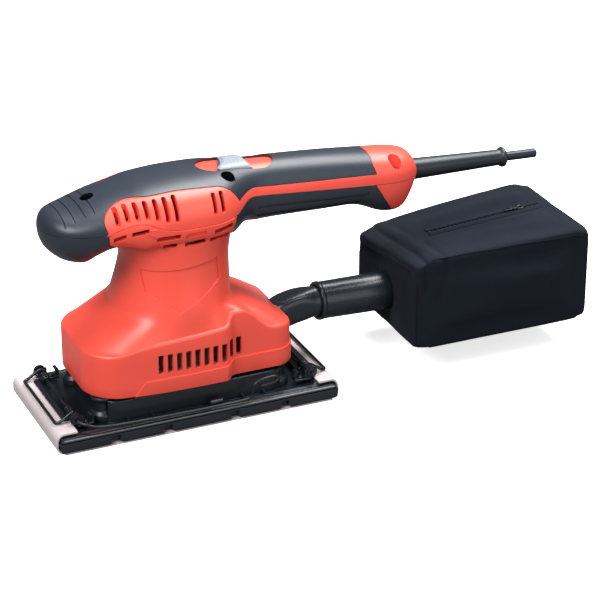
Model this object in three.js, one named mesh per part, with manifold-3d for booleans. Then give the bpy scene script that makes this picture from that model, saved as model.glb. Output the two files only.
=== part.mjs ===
// Third-sheet orbital finishing sander with a palm knob, a rear handle and a dust bag.
// Millimetres. The origin is the centre of the sanding face, +Z is up, +X points to the cord.
import * as THREE from 'three';
import { mergeVertices } from 'three/addons/utils/BufferGeometryUtils.js';
import Module from 'manifold-3d';

const wasm = await Module();
wasm.setup();

// ---------------------------------------------------------------- driving dimensions

const ORBIT_RADIUS = 1;            // throw of the eccentric, so a 2 mm orbit
const MOTOR_X = -ORBIT_RADIUS;     // the base is centred on the origin when the throw points to +X
const GAP = 0.3;                   // clearance between neighbouring pieces

const PAD = { length: 185, width: 93, paper: 1, foamTop: 8, corner: 5 };
const PLATE = { bottom: PAD.foamTop + GAP, top: 10.4, endTop: 12.4, endLength: 14 };
const TUB = { halfLength: 61, halfWidth: 37, top: 24.8, corner: 12, wall: 2.5 };
const FLAP = { length: 13.5, halfWidth: 43.3 };     // the paper folded over each end of the pad
const DUST_HOLE = { radius: 5, x: [-42, -14, 14, 42], y: 28 };
const FOAM_NOTCH = { x: [-56, -22, 22, 56], halfWidth: 2.4, depth: 3.5, roof: 1.2 };
const HOOK = { x: [7, 15], y: [40, 43.2], top: 15 };
const HUB = { radius: 15, top: 24, bore: 11.3, floor: 14.6 };
const AIR_WALL = { x: [-48, 24], y: [17, 19] };     // inner walls that lead the air past the dome slots

const SKIRT = {
  front: -68, rear: 68, bottom: 27, side: 42.5, rearSide: 36, frontCorner: 21, rearCorner: 14,
};
const STEP = { start: 19, end: 25 };
const WALL = 2.6;

const HANDLE = { front: -85, rear: 162.5, seam: 131, wall: 3.6, skin: 1.6 };

const SWITCH = { middle: 41.5, halfLength: 25, halfWidth: 10.9, sliderStart: 27, sliderEnd: 49 };
const SCREW = { head: 3.2, headHeight: 2.4, shank: 1.6, recess: 4.2 };
const KNOB_SCREW = { x: -54, headZ: 138 };
const MID_SCREWS = { x: 31, y: 16.5, headZ: 140 };
const END_SCREWS = { x: 145, y: 13, headZ: 134 };

const DUCT = { height: 47.9, radius: 10, inner: 8.3, start: 57, end: 128 };
const SLEEVE = { start: 97, end: 146.6, radius: 12.6, inner: 10.5, drop: 1.6 };
const ZIP = { x: 245, y: 4, bagTop: 84.2, rise: 0.071 };

const LEVER = { pivotX: -78, pivotZ: 17.6, side: -45, wire: 1 };
const FOOT = { x: 58, y: 26, radius: 7.5, bottom: PLATE.top + GAP, top: 26.4 };

// ---------------------------------------------------------------- colours and finishes

const finish = (color, roughness, metalness = 0) => ({ color, roughness, metalness });
const RED = finish(0xe8452f, 0.45);
const GRIP = finish(0x343c48, 0.7);
const BLACK = finish(0x15191f, 0.5);
const CLOTH = finish(0x171a26, 0.95);
const RUBBER = finish(0x191b1e, 0.85);
const PAPER = finish(0xd9c4bd, 0.9);
const PALE = finish(0xd5dae2, 0.5);
const STEEL = finish(0xa9adb2, 0.35, 1);
const CORE = finish(0x6c7075, 0.5, 1);
const COPPER = finish(0xb8703c, 0.4, 1);
const BRASS = finish(0xc9a650, 0.4, 1);
const CARBON = finish(0x26262a, 0.6);
const ALUMINIUM = finish(0xb9bdc1, 0.4, 1);
const FAN = finish(0xd8d8d0, 0.6);

// ---------------------------------------------------------------- solids

// A closed solid from a geometry: shared vertices merged, empty triangles dropped, faces out.
function solid(geometry) {
  const bare = geometry.clone();
  bare.deleteAttribute('normal');
  bare.deleteAttribute('uv');
  const merged = mergeVertices(bare, 1e-4);
  const place = (i) => new THREE.Vector3().fromBufferAttribute(merged.attributes.position, i);
  const triangles = [];
  let volume = 0;
  for (let t = 0; t < merged.index.count; t += 3) {
    const [a, b, c] = [0, 1, 2].map((k) => merged.index.getX(t + k));
    if (a !== b && b !== c && c !== a) {
      triangles.push([a, b, c]);
      volume += place(a).dot(place(b).cross(place(c)));
    }
  }
  const wound = volume > 0 ? triangles : triangles.map(([a, b, c]) => [a, c, b]);
  const vertProperties = new Float32Array(merged.attributes.position.array);
  const triVerts = new Uint32Array(wound.flat());
  return new wasm.Manifold(new wasm.Mesh({ numProp: 3, vertProperties, triVerts }));
}

function geometryOf(manifold) {
  const mesh = manifold.getMesh();
  const geometry = new THREE.BufferGeometry();
  geometry.setAttribute('position', new THREE.BufferAttribute(new Float32Array(mesh.vertProperties), 3));
  geometry.setIndex(new THREE.BufferAttribute(new Uint32Array(mesh.triVerts), 1));
  geometry.computeVertexNormals();
  return geometry;
}

const join = (...solids) => solids.reduce((whole, next) => whole.add(next));
const cut = (body, ...tools) => tools.reduce((rest, tool) => rest.subtract(tool), body);

function piece(name, shape, look) {
  const mesh = new THREE.Mesh(geometryOf(shape), new THREE.MeshStandardMaterial(look));
  mesh.name = name;
  return mesh;
}

function group(...members) {
  const whole = new THREE.Group();
  whole.add(...members);
  return whole;
}

function block([x0, x1], [y0, y1], [z0, z1]) {
  const box = new THREE.BoxGeometry(x1 - x0, y1 - y0, z1 - z0);
  return solid(box.translate((x0 + x1) / 2, (y0 + y1) / 2, (z0 + z1) / 2));
}

// A straight round bar between two points.
function bar(from, to, radius, segments = 16) {
  const [start, end] = [new THREE.Vector3(...from), new THREE.Vector3(...to)];
  const along = end.clone().sub(start);
  const cylinder = new THREE.CylinderGeometry(radius, radius, along.length(), segments);
  const upright = new THREE.Vector3(0, 1, 0);
  cylinder.applyQuaternion(new THREE.Quaternion().setFromUnitVectors(upright, along.clone().normalize()));
  const middle = start.add(end).multiplyScalar(0.5);
  return solid(cylinder.translate(middle.x, middle.y, middle.z));
}

// A turned piece about Z from [radius, z] points; a profile off the axis closes on itself.
function turned(profile, segments = 16) {
  const points = profile.map(([radius, z]) => new THREE.Vector2(radius, z));
  if (profile[0][0] > 0) points.push(points[0].clone());
  return solid(new THREE.LatheGeometry(points, segments).rotateX(Math.PI / 2));
}

const ring = (inner, outer, z0, z1, segments = 16) =>
  turned([[inner, z0], [outer, z0], [outer, z1], [inner, z1]], segments);

// An outline in X and Y, extruded along Z.
function slab(outline, z0, z1) {
  const options = { depth: z1 - z0, bevelEnabled: false, curveSegments: 5 };
  return solid(new THREE.ExtrudeGeometry(outline, options).translate(0, 0, z0));
}

// An outline in X and Z, extruded along Y.
function profile(outline, y0, y1) {
  const options = { depth: y1 - y0, bevelEnabled: false, curveSegments: 5 };
  return solid(new THREE.ExtrudeGeometry(outline, options).rotateX(Math.PI / 2).translate(0, y1, 0));
}

const outlineOf = (points) => new THREE.Shape(points.map(([x, y]) => new THREE.Vector2(x, y)));

function roundedBox([x0, x1], [y0, y1], radius) {
  const shape = new THREE.Shape();
  shape.absarc(x1 - radius, y1 - radius, radius, 0, Math.PI / 2);
  shape.absarc(x0 + radius, y1 - radius, radius, Math.PI / 2, Math.PI);
  shape.absarc(x0 + radius, y0 + radius, radius, Math.PI, 1.5 * Math.PI);
  shape.absarc(x1 - radius, y0 + radius, radius, 1.5 * Math.PI, 2 * Math.PI);
  return shape;
}

function circle(radius, hole = 0) {
  const shape = new THREE.Shape().absarc(0, 0, radius, 0, 2 * Math.PI);
  if (hole > 0) shape.holes.push(new THREE.Path().absarc(0, 0, hole, 0, 2 * Math.PI));
  return shape;
}

// A bent rod or pipe that follows a smooth line through the points.
function bent(points, outline, steps, curveSegments = 4) {
  const line = new THREE.CatmullRomCurve3(points.map((p) => new THREE.Vector3(...p)), false, 'centripetal');
  const options = { steps, curveSegments, extrudePath: line, bevelEnabled: false };
  return solid(new THREE.ExtrudeGeometry(outline, options));
}

// A skin over closed rings of equal length, capped at both ends by a fan.
function skin(rings) {
  const count = rings[0].length;
  const points = rings.flat();
  const faces = [];
  for (let r = 0; r + 1 < rings.length; r++) {
    for (let i = 0; i < count; i++) {
      const a = r * count + i;
      const b = r * count + ((i + 1) % count);
      faces.push(a, b, b + count, a, b + count, a + count);
    }
  }
  const last = (rings.length - 1) * count;
  for (let i = 1; i + 1 < count; i++) {
    faces.push(0, i + 1, i);
    faces.push(last, last + i, last + i + 1);
  }
  const geometry = new THREE.BufferGeometry();
  const positions = new Float32Array(points.flatMap((p) => [p.x, p.y, p.z]));
  geometry.setAttribute('position', new THREE.BufferAttribute(positions, 3));
  geometry.setIndex(faces);
  return solid(geometry);
}

// A value read from a short list of [position, value] points, with straight runs between them.
function along(points, at) {
  const next = points.findIndex(([position]) => position >= at);
  if (next <= 0) return next === 0 ? points[0][1] : points.at(-1)[1];
  const [[a, low], [b, high]] = [points[next - 1], points[next]];
  return low + ((high - low) * (at - a)) / (b - a);
}

const mirrored = (shape) => shape.mirror([0, 1, 0]);

// ---------------------------------------------------------------- handle and palm knob

// Crown height, underside height and half width along X.
const CROWN = [[-85, 131], [-83, 137.5], [-78, 141.3], [-67, 143], [-56, 146], [-47, 148.3], [-37, 150.5],
  [-20, 153.6], [1, 154.7], [15, 154.6], [40, 154.3], [63, 153.2], [98, 150.7], [132, 147.2], [150, 144.6],
  [157, 141.5], [162.5, 134]];
const UNDERSIDE = [[-85, 131], [-83, 121], [-78, 114.5], [-70, 109.3], [-62, 107.4], [-54, 111],
  [-46, 114.5], [-38, 116.2], [-25, 115.4], [20, 115.4], [27, 114.6], [32, 109.5], [35, 108.4],
  [38, 111], [42, 114], [50, 115], [58, 115], [100, 114], [115, 113.7], [122, 112.3], [128, 110],
  [135, 106.6], [142, 104.4], [148, 103.9], [153, 105.5], [157, 111], [162.5, 122]];
const HALF_WIDTH = [[-85, 0.4], [-83, 10], [-78, 18], [-70, 24], [-62, 27], [-54, 29], [-45, 31],
  [-30, 33.2], [-10, 34.6], [5, 34.8], [18, 34], [26, 32], [32, 29], [38, 25], [44, 21.5], [50, 19.3],
  [60, 18.4], [142, 18.4], [150, 17.2], [157, 14.5], [162.5, 9.5]];
const UPPER_POWER = [[-85, 2.1], [-40, 2.3], [30, 2.4], [162, 2.3]];
const LOWER_POWER = [[-85, 2.1], [-45, 2.2], [-25, 3.5], [22, 3.5], [34, 1.8], [44, 1.8], [52, 2.3],
  [162, 2.3]];
const STATIONS = [-85, -83, -78, -70, -60, -50, -38, -24, 0, 16, 26, 33, 38, 44, 51, 62, 100, 120, 130,
  141, 149, 157, 162.5];
const HOLLOW_STATIONS = [-85, -78, -62, -38, 0, 24, 36, 50, 62, 122, 142, 157, 162.5];

// One section of the handle: half ovals above and below the seam height.
function handleSection(station, inset, sides) {
  const halfLength = (HANDLE.rear - HANDLE.front) / 2;
  const middle = (HANDLE.rear + HANDLE.front) / 2;
  const x = middle + ((station - middle) * (halfLength - inset)) / halfLength;
  const smallest = 0.3;
  const width = Math.max(along(HALF_WIDTH, station) - inset, smallest);
  const up = Math.max(along(CROWN, station) - HANDLE.seam - inset, smallest);
  const down = Math.max(HANDLE.seam - along(UNDERSIDE, station) - inset, smallest);
  const section = [];
  for (let i = 0; i < sides; i++) {
    const angle = (2 * Math.PI * i) / sides;
    const [c, s] = [Math.cos(angle), Math.sin(angle)];
    const power = 2 / along(s >= 0 ? UPPER_POWER : LOWER_POWER, station);
    const y = width * Math.sign(c) * Math.abs(c) ** power;
    const z = HANDLE.seam + (s >= 0 ? up : down) * Math.sign(s) * Math.abs(s) ** power;
    section.push(new THREE.Vector3(x, y, z));
  }
  return section;
}

function handleLoft(inset, sides = 20, stations = STATIONS) {
  return skin(stations.map((station) => handleSection(station, inset, sides)));
}

// ---------------------------------------------------------------- skirt and neck

const CREASE = [[-68, 56], [-58, 55.5], [-30, 60], [10, 63], [20, 64], [26, 70], [32, 70], [51, 55.5],
  [68, 53.5]];
const NECK = { top: 124, waist: 104, radius: 33, topRadius: 32.6 };

// Where the shoulder turns into the neck: low and wide in front, low and tight behind.
function neckFoot(angle) {
  const front = THREE.MathUtils.smoothstep(-Math.cos(angle), 0, 1);
  const rear = THREE.MathUtils.smoothstep(Math.cos(angle), 0, 1);
  return { radius: 39 + 2.5 * front - 3.5 * rear, z: 79 - 7 * (front + rear) };
}

function neckRadius(angle, z) {
  const foot = neckFoot(angle);
  if (z > NECK.waist) return along([[NECK.waist, NECK.radius], [NECK.top, NECK.topRadius]], z);
  const share = (NECK.waist - z) / (NECK.waist - foot.z);
  return THREE.MathUtils.lerp(NECK.radius, foot.radius, share ** 1.3);
}

function planHalfWidth(x, inset) {
  const bow = 3.1 * ((x - 8) / 53) ** 2;
  const step = THREE.MathUtils.smoothstep(x, STEP.start, STEP.end);
  const side = THREE.MathUtils.lerp(SKIRT.side - bow, SKIRT.rearSide, step) - inset;
  const frontRadius = SKIRT.frontCorner - inset;
  const rearRadius = SKIRT.rearCorner - inset;
  const intoFront = SKIRT.front + SKIRT.frontCorner - x;
  const intoRear = x - (SKIRT.rear - SKIRT.rearCorner);
  if (intoFront > frontRadius || intoRear > rearRadius) return 0;
  if (intoFront > 0) return side - frontRadius + Math.sqrt(frontRadius ** 2 - intoFront ** 2);
  if (intoRear > 0) return side - rearRadius + Math.sqrt(rearRadius ** 2 - intoRear ** 2);
  return side;
}

// Distance from the Z axis to the skirt's outline in one direction.
function planRadius(angle, inset) {
  let [inside, outside] = [0, 90];
  for (let step = 0; step < 24; step++) {
    const r = (inside + outside) / 2;
    const within = Math.abs(r * Math.sin(angle)) < planHalfWidth(r * Math.cos(angle), inset);
    if (within) inside = r;
    else outside = r;
  }
  return inside;
}

const allRound = (degrees) => [0, 180, ...degrees.flatMap((angle) => [angle, 360 - angle])]
  .sort((a, b) => a - b).map(THREE.MathUtils.degToRad);
const SKIRT_ANGLES = allRound([15, 20, 25, 30, 43, 56, 60, 65, 78, 95, 112, 130, 140, 147, 154, 160, 168]);
const HOLLOW_ANGLES = allRound([20, 30, 43, 56, 65, 90, 112, 130, 147, 160]);

// The skirt's wall, its sloping shoulder and the round neck, as rings from the bottom up.
function skirtRings(inset, bottom, angles = SKIRT_ANGLES) {
  const rounding = 1.5;
  const ringAt = (place) => angles.map((angle) => {
    const [r, z] = place(angle, planRadius(angle, inset));
    return new THREE.Vector3(r * Math.cos(angle), r * Math.sin(angle), z);
  });
  const creaseAt = (angle, r) => along(CREASE, r * Math.cos(angle)) - inset;
  const wall = [
    ringAt((angle, r) => [r, bottom]),
    ringAt((angle, r) => [r, creaseAt(angle, r) - rounding]),
  ];
  const shoulder = [0, 0.3, 0.6, 1].map((rise) => ringAt((angle, r) => {
    const arching = 1 + 0.4 * THREE.MathUtils.smoothstep(Math.cos(angle), 0.2, 0.7);
    const crease = creaseAt(angle, r);
    const foot = neckFoot(angle);
    const z = crease + (foot.z - inset - crease) * (1 - (1 - rise) ** arching);
    return [THREE.MathUtils.lerp(r - rounding, foot.radius - inset, rise), z];
  }));
  const neck = [0.15, 0.35, 0.6, 1].map((rise) => ringAt((angle) => {
    const z = THREE.MathUtils.lerp(neckFoot(angle).z - inset, NECK.top, rise);
    return [neckRadius(angle, z) - inset, z];
  }));
  return [...wall, ...shoulder, ...neck];
}

const skirtPlan = (inset, z0, z1) => {
  const outline = HOLLOW_ANGLES.map((angle) => {
    const r = planRadius(angle, inset);
    return [r * Math.cos(angle), r * Math.sin(angle)];
  });
  return slab(outlineOf(outline), z0, z1);
};

// ---------------------------------------------------------------- edges of the soft grips and the seam

const SEAM_LINE = [[-100, 131.5], [-54, 131.6], [-47, 133.6], [-36, 136.6], [-27, 136.2], [-19, 132.4],
  [-8, 130], [16, 129.6], [31, 130.6], [36, 133], [41, 135.9], [46, 136.8], [62, 135.1], [130, 129.6],
  [180, 127]];
const UPPER_GRIP_EDGE = [[-100, 131.8], [-54, 131.9], [-51.2, 132.9], [-52.5, 140.5], [-46, 146.5],
  [-36, 148.9], [-21, 150.6], [-4, 151.1], [16, 150.1], [24, 148.8], [30, 145], [34.6, 138.6],
  [38, 140.2], [42, 141.4], [48, 142.2], [62, 140.7], [131, 136.5], [129, 142], [130, 170]];
const LOWER_GRIP_EDGE = [[30, 70], [28, 110], [31.5, 130], [36, 140], [128, 140], [130, 129], [136, 119.5],
  [146, 105.5], [147, 90]];
const KNOB_GRIP_EDGE = [[-100, 140], [-51.8, 140], [-50.2, 125.4], [-40, 121], [-24, 117], [-24, 90],
  [-100, 90]];

const everywhereAcross = (outline) => profile(outline, -60, 60);
const aboveSeam = everywhereAcross(outlineOf([...SEAM_LINE, [180, 200], [-100, 200]]));
const lowerSeam = SEAM_LINE.map(([x, z]) => [x, z - GAP]);
const belowSeam = everywhereAcross(outlineOf([...lowerSeam, [180, 0], [-100, 0]]));
const upperGripRegion = everywhereAcross(outlineOf([...UPPER_GRIP_EDGE, [-100, 170]]));
const lowerGripRegion = everywhereAcross(outlineOf(LOWER_GRIP_EDGE));
const knobGripRegion = everywhereAcross(outlineOf(KNOB_GRIP_EDGE));

const outer = handleLoft(0);
const underSkin = handleLoft(HANDLE.skin);
const core = handleLoft(HANDLE.skin + GAP);
const hollow = handleLoft(HANDLE.wall, 12, HOLLOW_STATIONS);
const neckOuter = skin(skirtRings(0, SKIRT.bottom));
const neckHollow = skin(skirtRings(WALL, SKIRT.bottom - 5, HOLLOW_ANGLES));
const outsideNeck = skin(skirtRings(-GAP, SKIRT.bottom));

// A grip covers the handle between its surface and the skin's depth, inside its region.
const gripLayer = (region) => cut(outer, underSkin).intersect(region);
// The shell under the grips is lower by the skin and a gap, with the gap around the edge too.
function recess(region, sideways, upward) {
  return cut(join(region, region.translate([sideways, 0, 0]), region.translate([0, 0, upward])), core);
}

// ---------------------------------------------------------------- screws and their bosses

function screwAt(x, y, headZ) {
  const length = 16;
  const [rimZ, topZ] = [headZ + SCREW.headHeight * 0.6, headZ + SCREW.headHeight];
  const head = [[0, headZ - length], [SCREW.shank, headZ - length], [SCREW.shank, headZ],
    [SCREW.head, headZ], [SCREW.head, rimZ], [SCREW.head * 0.6, topZ], [0, topZ]];
  return turned(head, 8).translate([x, y, 0]);
}

const coverScrews = [
  [KNOB_SCREW.x, 0, KNOB_SCREW.headZ],
  [MID_SCREWS.x, -MID_SCREWS.y, MID_SCREWS.headZ], [MID_SCREWS.x, MID_SCREWS.y, MID_SCREWS.headZ],
  [END_SCREWS.x, -END_SCREWS.y, END_SCREWS.headZ], [END_SCREWS.x, END_SCREWS.y, END_SCREWS.headZ],
];
const bossRadius = SCREW.recess + 1.6;
const upperBoss = ([x, y]) => bar([x, y, HANDLE.seam - 8], [x, y, 160], bossRadius, 6);
const lowerBoss = ([x, y]) => bar([x, y, 100], [x, y, HANDLE.seam + 8], bossRadius - 0.8, 6);
const screwRoom = ([x, y, headZ]) => join(
  bar([x, y, headZ - GAP], [x, y, 165], SCREW.recess, 10),
  bar([x, y, headZ - 18], [x, y, headZ], SCREW.shank + GAP, 6),
);
const allScrewRoom = join(...coverScrews.map(screwRoom));

// ---------------------------------------------------------------- ventilation slots

const eachSide = (tool) => join(tool, mirrored(tool));

function sideVents() {
  const [count, first, pitch, width] = [10, -24.3, 5.9, 3];
  const slots = [];
  for (let i = 0; i < count; i++) {
    const x = first + i * pitch;
    slots.push(block([x - width / 2, x + width / 2], [-50, -28], [40, 52.5]));
  }
  return eachSide(join(...slots));
}

function domeVents() {
  const [pitch, width] = [6, 2.6];
  const foot = [139.3, 140.2, 140.4, 140.4, 138.5, 136.4, 135.7];
  const slots = foot.map((z, i) => {
    const x = -44.4 + i * pitch;
    return block([x - width / 2, x + width / 2], [-50, -20], [z, 145.3 + i * 0.6]);
  });
  const rearSlots = [16.3, 21.7].map((x) => block([x - 1.2, x + 1.2], [-50, -22], [135.4, 147.4]));
  return eachSide(join(...slots, ...rearSlots));
}

function bandVents() {
  const height = 3;
  const rows = [[-48, -40.4, 129.6], [-37, -26.4, 131.5], [-22, -7.2, 126], [-2.6, 10.6, 125.2],
    [14.8, 27.6, 125.2], [-18, -8.8, 119.8], [-4, 9.6, 119.5], [12.8, 25.4, 119.5]];
  const slots = rows.map(([x0, x1, z]) => block([x0, x1], [-50, -25], [z - height / 2, z + height / 2]));
  return eachSide(join(...slots));
}

// ---------------------------------------------------------------- housing shells

const switchOval = (grow, z0, z1) => {
  const { middle, halfLength, halfWidth } = SWITCH;
  const radius = halfWidth + grow - 0.1;
  const x = [middle - halfLength - grow, middle + halfLength + grow];
  return slab(roundedBox(x, [-halfWidth - grow, halfWidth + grow], radius), z0, z1);
};
const cordLine = (x) => 128 - ((x - 162) * 2.6) / 68;
const switchSlot = block([24.5, 47], [-3.2, 3.2], [140, 160]);
const cordHole = join(
  bar([140, 0, cordLine(140)], [170, 0, cordLine(170)], 6.9 + 2 * GAP, 20),
  bar([143, 0, cordLine(143)], [150.5, 0, cordLine(150.5)], 7.9 + 2 * GAP, 20),
);

function makeTopCover() {
  const cover = outer.intersect(aboveSeam);
  const bosses = join(...coverScrews.map(upperBoss)).intersect(outer).intersect(aboveSeam);
  const airWall = block(AIR_WALL.x, AIR_WALL.y, [HANDLE.seam - 5, 160]);
  const airWalls = eachSide(airWall).intersect(cover);
  const shell = join(cut(cover, hollow), bosses, airWalls);
  const sunken = cut(switchOval(0, 145, 165), core);
  const underGrip = recess(upperGripRegion, GAP, -GAP);
  return cut(shell, underGrip, sunken, domeVents(), allScrewRoom, switchSlot, cordHole);
}

function makeUpperGrip() {
  return cut(gripLayer(upperGripRegion), switchOval(0, 145, 165), allScrewRoom);
}

function makeMotorHousing() {
  const bosses = join(...coverScrews.map(lowerBoss)).intersect(outer);
  const bridge = block([-7, 5], [-33, 33], [123.4, 129]).intersect(outer);
  const bearingCup = turned([[0, 123], [11, 123], [11, 129], [0, 129]]).translate([MOTOR_X, 0, 0]);
  const bearingBore = turned([[0, 120], [8.8, 120], [8.8, 140], [0, 140]]).translate([MOTOR_X, 0, 0]);
  const ductPort = bar([54, 0, 42.0], [75, 0, 45.4], DUCT.radius + 3 * GAP, 20);
  const shell = cut(join(neckOuter, outer), neckHollow, hollow);
  const walls = join(shell, bosses, cut(join(bridge, bearingCup), bearingBore));
  const footBosses = [[-1, -1], [-1, 1], [1, -1], [1, 1]].map(([sx, sy]) => {
    const [x, y] = [sx * FOOT.x + MOTOR_X, sy * FOOT.y];
    return bar([x, y, FOOT.top + 2 * GAP], [x, y, 70], FOOT.radius - 2, 14).intersect(neckOuter);
  });
  const whole = join(walls, ...footBosses).intersect(belowSeam);
  const tools = [recess(lowerGripRegion, GAP, GAP), recess(knobGripRegion, GAP, GAP)]
    .map((tool) => cut(tool, outsideNeck));
  return cut(whole, ...tools, allScrewRoom, bandVents(), sideVents(), ductPort, cordHole);
}

const makeKnobGrip = () => cut(gripLayer(knobGripRegion).intersect(belowSeam), outsideNeck);
const makeLowerGrip = () => cut(gripLayer(lowerGripRegion).intersect(belowSeam), outsideNeck);

// ---------------------------------------------------------------- motor and drive

const SHAFT = { radius: 4, tip: 3, bore: 4 + GAP, tipBore: 3 + GAP };
const ECCENTRIC = { radius: 5, bottom: 15, top: 24.6 };
const ORBIT_BEARING = { z0: 15.4, z1: 23.4 };
const LOWER_BEARING = { z0: 36.6, z1: 43.6 };
const UPPER_BEARING = { z0: 124, z1: 128.8 };
const STACK = { z0: 72, z1: 104, armature: 15.6, field: 16.5, slotRadius: 22, outside: 27.6 };

function makeShaft() {
  const [mid, top] = [123.5, 130];
  const straight = turned([[0, 24], [SHAFT.radius, 24], [SHAFT.radius, mid], [SHAFT.tip, mid],
    [SHAFT.tip, top], [0, top]], 20);
  const { radius, bottom } = ECCENTRIC;
  const pin = turned([[0, bottom], [radius, bottom], [radius, ECCENTRIC.top], [0, ECCENTRIC.top]], 20);
  return join(straight, pin.translate([ORBIT_RADIUS, 0, 0]));
}

function makeArmatureCore() {
  const [teeth, slotDepth] = [12, 5];
  const points = [];
  for (let i = 0; i < teeth; i++) {
    for (const [part, radius] of [[0.1, -slotDepth], [0.1, 0], [0.5, 0], [0.9, 0], [0.9, -slotDepth]]) {
      const angle = (2 * Math.PI * (i + part)) / teeth;
      const r = STACK.armature + radius;
      points.push([r * Math.cos(angle), r * Math.sin(angle)]);
    }
  }
  const outline = outlineOf(points);
  outline.holes.push(new THREE.Path().absarc(0, 0, SHAFT.bore, 0, 2 * Math.PI));
  return slab(outline, STACK.z0, STACK.z1);
}

const makeWinding = (z0, z1) =>
  turned([[SHAFT.bore, z0], [11.5, z0], [14.4, (z0 + z1) / 2], [13, z1], [SHAFT.bore, z1]], 20);

function makeFieldCore() {
  const yoke = ring(STACK.slotRadius, STACK.outside, STACK.z0, STACK.z1, 28);
  const pole = ring(STACK.field, STACK.slotRadius + 1, STACK.z0, STACK.z1, 28);
  const window = join(block([-12, 12], [-30, -10], [60, 120]), block([-12, 12], [10, 30], [60, 120]));
  return join(yoke, pole.intersect(window));
}

// One field coil: a saddle of wire around one pole.
function makeFieldCoil() {
  const [overhang, thickness] = [6, 5];
  const [z0, z1] = [STACK.z0 - overhang, STACK.z1 + overhang];
  const band = ring(STACK.field + 0.8, STACK.slotRadius - GAP, z0, z1, 28);
  const half = band.intersect(block([-40, 40], [1, 40], [0, 200]));
  return cut(half, block([-12.4, 12.4], [0, 40], [z0 + thickness, z1 - thickness]));
}

function makeFan(radius, discZ, bladeZ, bladeCount, hubRadius) {
  const thickness = 1.6;
  const [low, high] = [Math.min(discZ, bladeZ), Math.max(discZ, bladeZ)];
  const blades = [];
  for (let i = 0; i < bladeCount; i++) {
    const blade = block([hubRadius - 1, radius - 0.6], [-0.8, 0.8], [low, high]);
    blades.push(blade.rotate([0, 0, (360 * i) / bladeCount]));
  }
  const disc = ring(SHAFT.bore, radius, discZ - thickness / 2, discZ + thickness / 2, 20);
  return join(disc, ring(SHAFT.bore, hubRadius, low - 0.8, high + 0.4, 20), ...blades);
}

// Opposite the eccentric pin, to balance the base plate.
function makeCounterweight() {
  const half = ring(9.6, 22, 27.4, 31.6, 28).intersect(block([-30, -3], [-30, 30], [20, 40]));
  const collar = ring(SHAFT.bore, 6.4, 25.4, 28.4, 16);
  const web = block([-12, -5], [-6, 6], [25.4, 28.4]);
  return join(collar, web, half);
}

function makeBearingBox() {
  const hub = ring(11.3, 14, 35.6, 44.4, 24).translate([MOTOR_X, 0, 0]);
  const bore = turned([[0, 30], [11.3, 30], [11.3, 50], [0, 50]]).translate([MOTOR_X, 0, 0]);
  const feet = [[-1, -1], [-1, 1], [1, -1], [1, 1]].map(([sx, sy]) => {
    const [x, y] = [sx * FOOT.x + MOTOR_X, sy * FOOT.y];
    return bar([x, y, 20], [x, y, 60], FOOT.radius - 2 + GAP, 14);
  });
  const plate = skirtPlan(WALL + 2 * GAP, 38, 40.4).intersect(block([-70, 50], [-50, 50], [30, 50]));
  return join(cut(plate, bore, ...feet), hub);
}

const brushBox = { inner: 12.4, outer: 28.6, halfWidth: 4.6, z0: 113.2, z1: 121.6 };

function makeBrushHolder() {
  const { inner, outer: end, halfWidth, z0, z1 } = brushBox;
  const box = block([-halfWidth, halfWidth], [inner, end], [z0, z1]);
  const room = block([-halfWidth + 0.9, halfWidth - 0.9], [inner - 1, end - 1], [z0 + 0.9, z1 - 0.9]);
  return cut(box, room);
}

function makeBrush() {
  const { halfWidth, z0, z1 } = brushBox;
  const side = halfWidth - 0.9 - GAP;
  return block([-side, side], [11.4, 20], [z0 + 0.9 + GAP, z1 - 0.9 - GAP]);
}

function makeBrushSpring() {
  const [turns, corners, radius, start, length] = [3, 6, 2.1, 20.9, 5.6];
  const middle = (brushBox.z0 + brushBox.z1) / 2;
  const points = [];
  for (let i = 0; i <= turns * corners; i++) {
    const angle = (2 * Math.PI * i) / corners;
    const y = start + (length * i) / (turns * corners);
    points.push([radius * Math.cos(angle), y, middle + radius * Math.sin(angle)]);
  }
  return bent(points, circle(0.45), turns * corners, 2);
}

// ---------------------------------------------------------------- switch, cord and capacitor

// The slider is a strip of the handle's own crown, lifted a little, with a stem into the switch.
function makeSlider() {
  const { sliderStart, sliderEnd, halfWidth } = SWITCH;
  const footprint = new THREE.Shape();
  const side = halfWidth - 0.8;
  footprint.moveTo(sliderEnd, -side);
  footprint.lineTo(sliderEnd, side);
  footprint.lineTo(sliderStart + 3, side);
  footprint.quadraticCurveTo(sliderStart - 2, 0, sliderStart + 3, -side);
  const [proud, depth] = [0.5, HANDLE.skin / 2];
  const strip = cut(slab(footprint, 140, 160).intersect(handleLoft(-proud)), handleLoft(depth));
  const [stemX, stemY] = [[33, 43], [-2.6, 2.6]];
  return join(strip, block(stemX, stemY, [146.8, 153.6]));
}

function makeCordGuard() {
  const [start, end] = [146, 230];
  const profileLine = [[3.5, start], [7.9, start], [7.9, start + 3], [6.9, start + 3.3], [6.9, 163],
    [5.2, 226], [6.4, 227.4], [6.4, end - 0.6], [5.4, end], [3.5, end]];
  const alongZ = turned(profileLine.map(([r, x]) => [r, x - 162]), 20);
  const tilt = THREE.MathUtils.radToDeg(Math.atan2(2.6, 68));
  return alongZ.rotate([0, 90 + tilt, 0]).translate([162, 0, cordLine(162)]);
}

function makeCord() {
  const points = [[72, 0, 122], [84, 0, 121.1], [106, 0, 121.2], [130, 0, 126], [146, 0, cordLine(146)],
    [170, 0, cordLine(170)], [228, 0, cordLine(228)], [238, 0, 125], [253, 0, 124.4]];
  return bent(points, circle(3.05), 28, 3);
}

const makeStrainRelief = () => cut(
  block([134, 140], [-9, 9], [116.6, 122.8]),
  bar([130, 0, 127.2], [145, 0, cordLine(145)], 3.4, 12),
  block([130, 145], [-3.6, 3.6], [122, 130]),
);

// ---------------------------------------------------------------- dust duct and bag

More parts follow.
